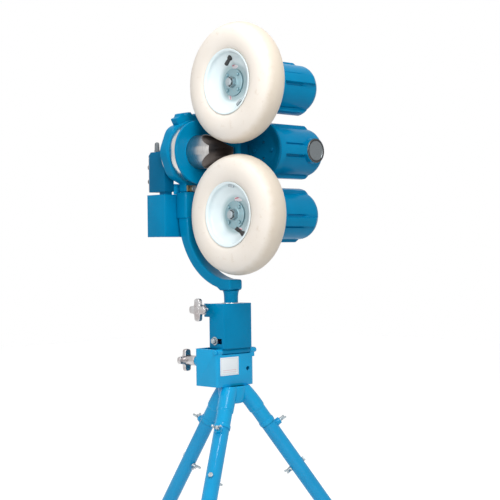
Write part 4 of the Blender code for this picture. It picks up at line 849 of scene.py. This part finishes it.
brushed_panel = brushed("brushed_aluminium_panel", ("#a7a8aa", "#cfd1d3"), 0.34, 30, 0.8, 2)[0]
panel_y = control_back + 0.0003
corner = (side_out + 0.001, panel_y, foot_z + 0.001)
panel = brick("brushed_panel", corner, (side_in - 0.001, panel_y + sheet, shoulder), 0.0008, 2)
dial_heights = {"upper": -0.045, "lower": -0.095}
holes = [
    rod("dial_hole", 0.0035, panel_y - 0.01, panel_y + 0.01, pose(switch_x, 0, z, (0, 1, 0)), 0)
    for z in dial_heights.values()
]
fitted(shaped(panel, *holes), "yoke", brushed_panel, "machined_aluminium", "control_panel")

profile = [
    (0, -0.014), (0.003, -0.014), (0.003, 0.0006), (0.013, 0.0006), (0.013, 0.0032), (0.0112, 0.0042),
    (0.0104, 0.016), (0.0092, 0.0175), (0, 0.0175),
]
for name, z in dial_heights.items():
    dial_at = pose(switch_x, panel_y + sheet, z, (0, 1, 0))
    dial = turned("speed_dial", profile, dial_at, 48, ease=0.0006, steps=2)
    for i in range(18):
        ridge_at = dial_at @ Matrix.Translation((*polar(0.0106, 20 * i), 0))
        gathered(dial, rod("ridge", 0.0009, 0.0046, 0.0158, ridge_at, 0.0003, 8))
    fitted(dial, name + "_dial_body", black_plastic, "black_plastic", name + "_dial")
    mark = slab("dial_mark", oblong(0.0007, 0.002, 0.0088), 0.0172, 0.018, dial_at, 0.0002, 1)
    fitted(mark, name + "_dial_body", printed_plate, "white_label")

grey_rubber = rubber("grey_rubber", "#7c8387", "#646a6e", 0.8)
switch_at = pose(switch_x, switch_y, control_top - sheet / 2)
profile = [
    (0, -0.006), (0.0042, -0.0042), (0.006, 0), (0.0046, 0.0041), (0.01, 0.0041), (0.01, 0.007),
    (0.009, 0.0085), (0.0094, 0.01), (0.0086, 0.0115), (0.0084, 0.02), (0.0082, 0.028), (0.0074, 0.0325),
    (0.0054, 0.0355), (0.0028, 0.0367), (0, 0.037),
]
boot = turned("switch_boot", profile, switch_at, 48)
fitted(boot, "power_switch_body", grey_rubber, "grey_rubber", "power_switch")

# Head frame. A cast C-shaped plate behind the wheels. A round seat at each end takes a motor,
# and the spine between them runs back to the throat flange.
seat_radius = 0.075
outline = [(0.1827, -0.0682), (0.1827, 0.0682), (0.1275, 0.121)]
outline += [polar(seat_radius, a, 0, wheel_height) for a in range(0, 271, 6)]
outline += [(0.0585, wheel_height * 0.45), (0.0585, -wheel_height * 0.45)]
outline += [polar(seat_radius, a, 0, -wheel_height) for a in range(90, 361, 6)]
outline += [(0.1275, -0.121)]
plate = upright("head_frame_casting", outline, 0.066, 0.076, 0.0022, 3, head_origin)
for z in (wheel_height, -wheel_height):
    shaped(plate, rod("shaft_hole", 0.0216, 0, 0.2, crosswise(0, z), 0, 64))
fitted(plate, "head", enamel_on_castings, "blue_casting", "head_frame")

# Motors. Black enamelled cases on the frame: a bell, the flange that the cover seats on, and a
# can with an end plate. Rotor and speed controller sit inside, out of sight.
cover_seat, cover_mouth = 0.1177, 0.094              # along the axle, and the radius
# Nearly black with a soft gloss.
black_enamel = coated("black_enamel_on_steel", (30, 3), ("#131415", "#222426"), Roughness=0.36, IOR=1.5)[0]
profile = [
    (0.013, 0.0763), (0.062, 0.0763), (0.062, 0.112), (cover_mouth, 0.112), (cover_mouth, cover_seat),
    (0.072, cover_seat), (0.072, 0.2523), (0.013, 0.2523),
]
for name, z in (("upper", wheel_height), ("lower", -wheel_height)):
    case = turned("motor_case", profile, crosswise(0, z), 96, loop=True, ease=0.0012)
    fitted(case, "head", black_enamel, "black_enamel", name + "_motor")
    for part in ("rotor", "axle"):
        frame["nodes"][f"{name}_{part}"].data.materials[0] = zinc_plate
frame["nodes"]["speed_controller"].data.materials[0] = turned_aluminium

# Middle dish. A dished plate in the mouth of the middle cover, fixed by two bolts, with a short
# arm to the frame's spine and two holes for the cables.
profile = [
    (0, 0.124), (0.058, 0.124, 0.01), (0.087, 0.1125, 0.003), (0.0925, 0.112), (cover_mouth, 0.113),
    (cover_mouth, cover_seat), (0.0777, cover_seat), (0.0777, 0.13), (0, 0.13),
]
dish = turned("dished_plate", profile, crosswise(0, 0), 144, ease=0.0008)
holes = [rod("cable_hole", 0.005, 0.05, 0.2, crosswise(0, z), 0) for z in (0.028, -0.028)]
shaped(dish, *holes)
arm = brick("dish_arm", (0.0763, 0.0625, -0.035), (0.116, 0.0885, 0.035), 0.003, 3, head_origin)
for y in (-0.041, 0.041):
    gathered(dish, hexagon("bolt_head", crosswise(y, 0), 0.0075, 0.125, 0.118, 0.0066, ease=0.0003))
# The dish takes the darker blue as painted shade.
fitted(gathered(dish, arm), "head", dark_enamel_and_painted_shade, "blue_casting", "middle_dish")

# Motor covers. Three domed castings with a wide band at the mouth and four raised lugs that slope
# into the dome, with a scooped flute on each side of every lug. The outer two are turned a
# little on their motors, and the middle one has a round pad for a plate on its front lug.
cover_start = 0.118
body_radius, lug_radius, dome_depth, shell = 0.083, 0.094, 0.047, 0.005


def ramp(value, start, stop):
    """Runs smoothly from 0 at start to 1 at stop."""
    share = min(max((value - start) / (stop - start), 0.0), 1.0)
    return share * share * (3 - 2 * share)


def cover_radius(x, arc, end):
    """Outer radius at a distance along the cover, and at an arc length in mm from a lug's middle."""
    tail = end - dome_depth
    dome = math.sqrt(max(0.0, 1 - (max(0.0, x - tail) / dome_depth) ** 2))
    body = body_radius * dome
    collar = 1 - ramp(x, cover_start + 0.0235, cover_start + 0.0265)
    body += (lug_radius - body_radius) * collar
    slope = min(max((x - end + 0.054) / 0.032, 0.0), 1.0)
    lug = lug_radius + (body_radius * 0.9 * dome - lug_radius) * slope
    side = ramp(arc, 14.9, 16.4)
    radius = max(body, lug) * (1 - side) + body * side
    flute = ramp(arc, 16.6, 19.0) * (1 - ramp(arc, 21.5, 27.0))
    return radius - 0.0085 * flute * ramp(x, 0.152, 0.16) * (1 - ramp(x, 0.215, 0.262)) * (1 - collar)


def motor_cover(name, z, end, degrees):
    """The shell as one mesh: outside, mouth and plain inside."""
    arcs = [0, 5, 10, 13.5, 14.6, 14.9, 15.2, 15.5, 15.8, 16.1, 16.4, 17, 17.7, 18.4, 19, 20, 21.5, 22.8]
    arcs += [24, 25.5, 27, 31, 36, 43, 50, 57, 64]
    quarter = [(a, a / 0.0905 / 1000) for a in arcs]
    quarter += [(a, math.pi / 2 - turn) for a, turn in reversed(quarter[1:])]
    around = [(a, turn + i * math.pi / 2 + math.radians(degrees)) for i in range(4) for a, turn in quarter]
    tail, inner, depth = end - dome_depth, body_radius - shell, dome_depth - shell
    steps = (0, 0.0002, 0.0009, 0.008, 0.016, 0.0228, 0.0235, 0.0243, 0.025, 0.0258, 0.0265, 0.0275)
    xs = [cover_start + step for step in steps] + [0.15 + 0.004 * i for i in range(int((tail - 0.15) / 0.004))]
    xs += [tail + dome_depth * math.sin(math.radians(3 * i)) for i in range(30)]
    mouth_ease = [0.0009, 0.0003] + [0.0] * len(xs)
    rows = [
        [(cover_radius(x, arc, end) - ease, turn, x) for arc, turn in around]
        for x, ease in zip(xs, mouth_ease)
    ]
    for x in [cover_start, tail] + [tail + depth * math.sin(math.radians(15 * i)) for i in range(1, 6)]:
        radius = inner * math.sqrt(max(0.0, 1 - (max(0.0, x - tail) / depth) ** 2))
        rows.append([(radius, turn, x) for arc, turn in around])
    points = [(radius * math.sin(turn), -radius * math.cos(turn), x) for row in rows for radius, turn, x in row]
    points += [(0, 0, end), (0, 0, end - shell)]
    count, faces = len(around), []
    strips = [(row, row + 1) for row in range(len(rows) - 1) if row != len(xs) - 1] + [(0, len(xs))]
    for i in range(count):
        j = (i + 1) % count
        faces += [(low * count + i, low * count + j, high * count + j, high * count + i) for low, high in strips]
        for row, tip in ((len(xs) - 1, len(points) - 2), (len(rows) - 1, len(points) - 1)):
            faces.append((row * count + i, row * count + j, tip))
    return skin_over(name, points, faces, head_pose(0, 0, z) @ spin(90, "Y"))


for name, z, degrees in (("upper", wheel_height, -16), ("lower", -wheel_height, 16)):
    cover = motor_cover("motor_cover_casting", z, 0.34, degrees)
    fitted(cover, "head", enamel_on_castings, "blue_casting", name + "_motor_cover")
cover = motor_cover("middle_cover_casting", 0, 0.366, 0)
pad_at = head_pose(0.283, 0, 0, (0, -1, 0))
pad = turned("round_pad", band(0, 0.044, 0.0945, 0.06), pad_at, 96, ease=0.0012)
fitted(gathered(cover, pad), "head", enamel_on_castings, "blue_casting", "middle_cover")

# Round plate on the pad. A stamped aluminium disc: a black border between two thin bright
# lines round a satin middle that is kept blank.
# Satin grey metal inside, and black paint where the border is printed.
stamped_plate, tree, shader, place, satin = coated(
    "stamped_round_plate", (2, 3), ("#5d6265", "#8b9194"), Roughness=0.32,
)
radius = distance_from_axis(tree, place)
outer_black = node(tree, "Math", {0: radius, 1: 0.0403}, operation="GREATER_THAN")
dark = node(tree, "Math", {0: stripe(tree, radius, 0.0365, 0.003), 1: outer_black}, operation="ADD")
tint = node(tree, "MixRGB", {"Fac": dark, "Color1": satin, "Color2": "#17191b"})
joined(shader, {"Base Color": tint, "Metallic": node(tree, "Math", {0: 1.0, 1: dark}, operation="SUBTRACT")})
profile = [
    (0, 0.0956), (0.0325, 0.0956), (0.0335, 0.0968), (0.0398, 0.0968), (0.0404, 0.0961), (0.0415, 0.0961),
    (0.042, 0.0956), (0.042, 0.0948), (0, 0.0948),
]
plate = turned("round_plate", profile, pad_at, 96)
fitted(plate, "head", stamped_plate, "black_plastic", "badge_plate")

# Wheels. An off-white tyre on a pressed steel rim in white enamel, deep in front. A zinc plated
# hub holds the disc, with a nut on the shaft. Each rim has a valve stem, a clip-on balance
# weight at its edge, and two adhesive labels on the disc, blank but for a red bar.
# Cream and matt, with light scuffs all over, and a darker tread, partly dust and partly painted shade.
off_white_rubber, tree, shader, place, tint = coated(
    "off_white_rubber", (110, 4), ("#efe5d8", "#f5efe8"), (1.4, 2, 0.4, 0.06), Roughness=0.58, IOR=1.52,
)
scuff = node(tree, "TexNoise", {"Vector": place, "Scale": 1000 / 22, "Detail": 6, "Roughness": 0.65})
marks = node(tree, "MapRange", {"Value": scuff, "From Min": 0.6, "From Max": 0.74, "To Max": 0.55})
toned = node(tree, "MixRGB", {"Fac": marks, "Color1": tint, "Color2": "#dccdbb"})
out = distance_from_axis(tree, place)
blur = node(tree, "Math", {0: scuff, 1: 0.012, 2: out}, operation="MULTIPLY_ADD")
tread_dust_and_shade = node(tree, "MapRange", {"Value": blur, "From Min": 0.192, "From Max": 0.206, "To Max": 0.85})
joined(shader, {"Base Color": node(tree, "MixRGB", {"Fac": tread_dust_and_shade, "Color1": toned, "Color2": "#dccfbd"})})
# A clean cool white with a wet gloss, and greyer on the disc round the hub.
white_enamel, tree, shader, place, tint = coated(
    "white_enamel_on_pressed_steel", (45, 3), ("#e2f2f6", "#eef8fb"), Roughness=0.24, IOR=1.5, Coat_Weight=0.3,
    Coat_Roughness=0.06,
)
toned = node(tree, "MapRange", {
    "Value": distance_from_axis(tree, place), "From Min": 0.058, "From Max": 0.07, "To Min": 1.0, "To Max": 0.0,
})
joined(shader, {"Base Color": node(tree, "MixRGB", {"Fac": toned, "Color1": tint, "Color2": "#b3cbd0"})})
hub_zinc = zinc("blue_zinc_plated_hub", "#8fb9c2", 0.42)


def paper(name, colour, shade):
    """Printed paper, its ink a little uneven."""
    return coated(name, (3, 3), (shade, colour), Roughness=0.55)[0]


white_paper = paper("blank_paper_label", "#f3eef1", "#e6dde3")
red_ink = paper("red_ink_on_paper", "#d4687c", "#c04a60")

tyre_half = [
    (0.1019, 0.0425), (0.1092, 0.043), (0.1122, 0.0462), (0.12, 0.05), (0.132, 0.0522), (0.146, 0.053),
    (0.158, 0.0522), (0.169, 0.0498), (0.179, 0.0458), (0.1875, 0.0402), (0.194, 0.0325), (0.1985, 0.0235),
    (0.2015, 0.0125), (0.203, 0.0),
]
tyre_profile = [(r, -x) for r, x in tyre_half] + [(r, x) for r, x in reversed(tyre_half[:-1])]
tyre_profile += [(0.1019, 0.0314), (0.164, 0.04), (0.19, 0.018)]
tyre_profile += [(0.19, -0.018), (0.164, -0.04), (0.1019, -0.0314)]
rim_edge = [
    (0.109, 0.0482, 0.0012), (0.109, 0.0446, 0.001), (0.1016, 0.044, 0.003), (0.1016, 0.0252, 0.006),
    (0.0864, 0.0171, 0.006),
]
inside_edge = [
    (0.1052, 0.0482, 0.002), (0.0995, 0.045, 0.004), (0.0968, 0.031, 0.012), (0.08, 0.014, 0.012),
    (0.064, 0.007, 0.006), (0.064, -0.007, 0.003),
]
rim_profile = [(r, -x, c) for r, x, c in rim_edge] + [(r, x, c) for r, x, c in reversed(rim_edge)] + inside_edge
rim_profile += [(0.0207, -0.007, 0.0003), (0.0207, -0.01, 0.0003), (0.06, -0.01, 0.006)]
rim_profile += [(r, -x, c) for r, x, c in reversed(inside_edge[:3])]
stem = [
    (0, -0.004), (0.0092, -0.004), (0.0084, 0.009), (0.006, 0.0125), (0.0056, 0.02), (0.0062, 0.0202),
    (0.0066, 0.0212), (0.0066, 0.035), (0.0056, 0.0362), (0, 0.0362),
]
face = -0.0103
hub_profile = [
    (0.013, -0.019), (0.0226, -0.019, 0.0004), (0.0254, -0.0178, 0.001), (0.046, face - 0.006, 0.0012),
    (0.046, face), (0.0204, face), (0.0204, 0.02), (0.013, 0.02),
]
nut_profile = [
    (0.012, -0.0313), (0.0172, -0.0313), (0.019, -0.03), (0.019, -0.0203), (0.0182, -0.0193),
    (0.012, -0.0193),
]
for name, z, valve_degrees, clip_degrees, tags in (
    ("upper", wheel_height, 87, 232, ((96, 0.056, 0.013, 0.011, -20), (-69, 0.054, 0.011, 0.007, 80))),
    ("lower", -wheel_height, 233, 100, ((105, 0.0545, 0.017, 0.0095, -8), (-112, 0.0545, 0.011, 0.007, 10))),
):
    body = name + "_wheel"
    axle = crosswise(0, z)
    tyre = turned("white_tyre", tyre_profile, axle, 160, loop=True)
    fitted(tyre, body, off_white_rubber, "white_rubber", name + "_tyre")
    rim = turned("pressed_rim", rim_profile, axle, 160, loop=True, ease=0.001)
    fitted(rim, body, white_enamel, "white_enamel", name + "_rim")

    facing = (-0.62, *polar(-0.78, valve_degrees))
    valve_at = head_pose(-0.02, *polar(0.085, valve_degrees, 0, z), facing)
    fitted(turned("valve_stem", stem, valve_at, 40), body, black_rubber, "black_rubber")
    across, up = polar(1.0, clip_degrees)
    clip_at = head_pose(-0.0455, 0.099 * across, z + 0.0985 * up, (0, -across, -up)) @ spin(90, "Z")
    clip = slab("balance_weight", eased(oblong(0.013, -0.0035, 0.0035), 0.0026), 0, 0.007, clip_at, 0.0014, 3)
    fitted(clip, body, zinc_plate, "zinc_steel")

    hub_body = turned("zinc_hub", hub_profile, axle, 96, loop=True, ease=0.0006)
    for i in range(4):
        nut_at = crosswise(*polar(0.0359, 45 + 90 * i, 0, z))
        nut = hexagon("disc_nut", nut_at, 0.0065, face - 0.005, face - 0.012, 0.0056, 0.0008, 0.0003)
        gathered(hub_body, nut)
    fitted(hub_body, body, hub_zinc, "zinc_steel", name + "_hub")
    nut = turned("shaft_nut", nut_profile, axle, 6, loop=True, ease=0.0003)
    tip = rod("shaft_end", 0.013, -0.0376, -0.0107, axle, 0.0012, 48)
    fitted(gathered(nut, tip), body, zinc_plate, "zinc_steel")
    for degrees, out, half_long, half_wide, lean in tags:
        tag_at = head_pose(-0.0101, *polar(out, degrees, 0, z)) @ side_on @ spin(lean, "Z")
        corners = oblong(half_long, -half_wide, half_wide)
        tag = slab("blank_label", eased(corners, 0.002), -0.0003, 0, tag_at)
        fitted(tag, body, white_paper, "white_label")
        corners = [(x * 0.9, half_wide * (0.55 if y > 0 else 0.15)) for x, y in corners]
        fitted(slab("red_bar", corners, -0.0004, -0.0002, tag_at), body, red_ink, "white_label")

# Floor, lamps and camera. A white sweep that keeps the shadow, and soft studio light from the
# front left and above, so that the enamel shows broad, gentle reflections. The small overhead
# lamp draws the line of light along the front leg.
floor_mesh = bpy.data.meshes.new("floor")
floor_half = 9
corners = oblong(floor_half, -floor_half, floor_half)
floor_mesh.from_pydata([(*corner, 0) for corner in corners], [], [(0, 1, 2, 3)])
floor = bpy.data.objects.new("floor", floor_mesh)
bpy.context.scene.collection.objects.link(floor)
floor_paint, tree, shader = finish(
    "white_floor_paint", Roughness=0.9, Base_Color=(0.86, 0.86, 0.86, 1), Emission_Color=(1, 1, 1, 1),
)


def shown_in_views(tree):
    """One for rays that show the background: direct, mirrored or let through."""
    rays = node(tree, "LightPath").outputs
    seen = node(tree, "Math", {0: rays["Is Camera Ray"], 1: rays["Is Transmission Ray"]}, operation="MAXIMUM")
    return node(tree, "Math", {0: seen, 1: rays["Is Glossy Ray"]}, operation="MAXIMUM")


glow = node(tree, "Math", {0: shown_in_views(tree), 1: 0.62}, operation="MULTIPLY")
joined(shader, {"Emission Strength": glow})
floor_mesh.materials.append(floor_paint)

scene = bpy.context.scene
world = bpy.data.worlds.new("studio")
scene.world = world
world.use_nodes = True
tree = world.node_tree
fill = joined(tree.nodes["Background"], {"Color": (1.0, 1.0, 1.0, 1), "Strength": 0.38})
white = node(tree, "Background", {"Color": (1, 1, 1, 1), "Strength": 1.0})
both = node(tree, "MixShader", {0: shown_in_views(tree), 1: fill, 2: white})
joined(tree.nodes["World Output"], {"Surface": both})
aim = Vector((0, 0, 1.15))
for name, spot, size, power in (
    ("front_softbox", (-2.2, -3.4, 2.6), 1.6, 58),
    ("overhead_lamp", (-0.55, -1.18, 2.84), 0.7, 16),
    ("left_softbox", (-3.6, 0.4, 2.2), 1.6, 26),
    ("top_softbox", (-0.2, 0.2, 4.2), 2.0, 20),
):
    lamp = bpy.data.lights.new(name, "AREA")
    lamp.shape = "SQUARE"
    lamp.size = size
    lamp.energy = power
    stand = bpy.data.objects.new(name, lamp)
    scene.collection.objects.link(stand)
    stand.location = spot
    stand.rotation_euler = (aim - Vector(spot)).to_track_quat("-Z", "Y").to_euler()

back = Vector((-0.6947, -0.7193, 0))
right = Vector((0.7193, -0.6947, 0))
view = bpy.data.cameras.new("camera")
view.lens = 91.44
camera = bpy.data.objects.new("camera", view)
scene.collection.objects.link(camera)
camera_height, distance, shift, roll = 1.061, 4.27, 0.0657, -0.7      # in metres, the roll in degrees
camera.location = Vector((0, column.y, camera_height)) + back * distance + right * shift
look = (-back).to_track_quat("-Z", "Y").to_matrix() @ Matrix.Rotation(math.radians(roll), 3, "Z")
camera.rotation_euler = look.to_euler()
scene.camera = camera
scene.view_settings.view_transform = "Standard"
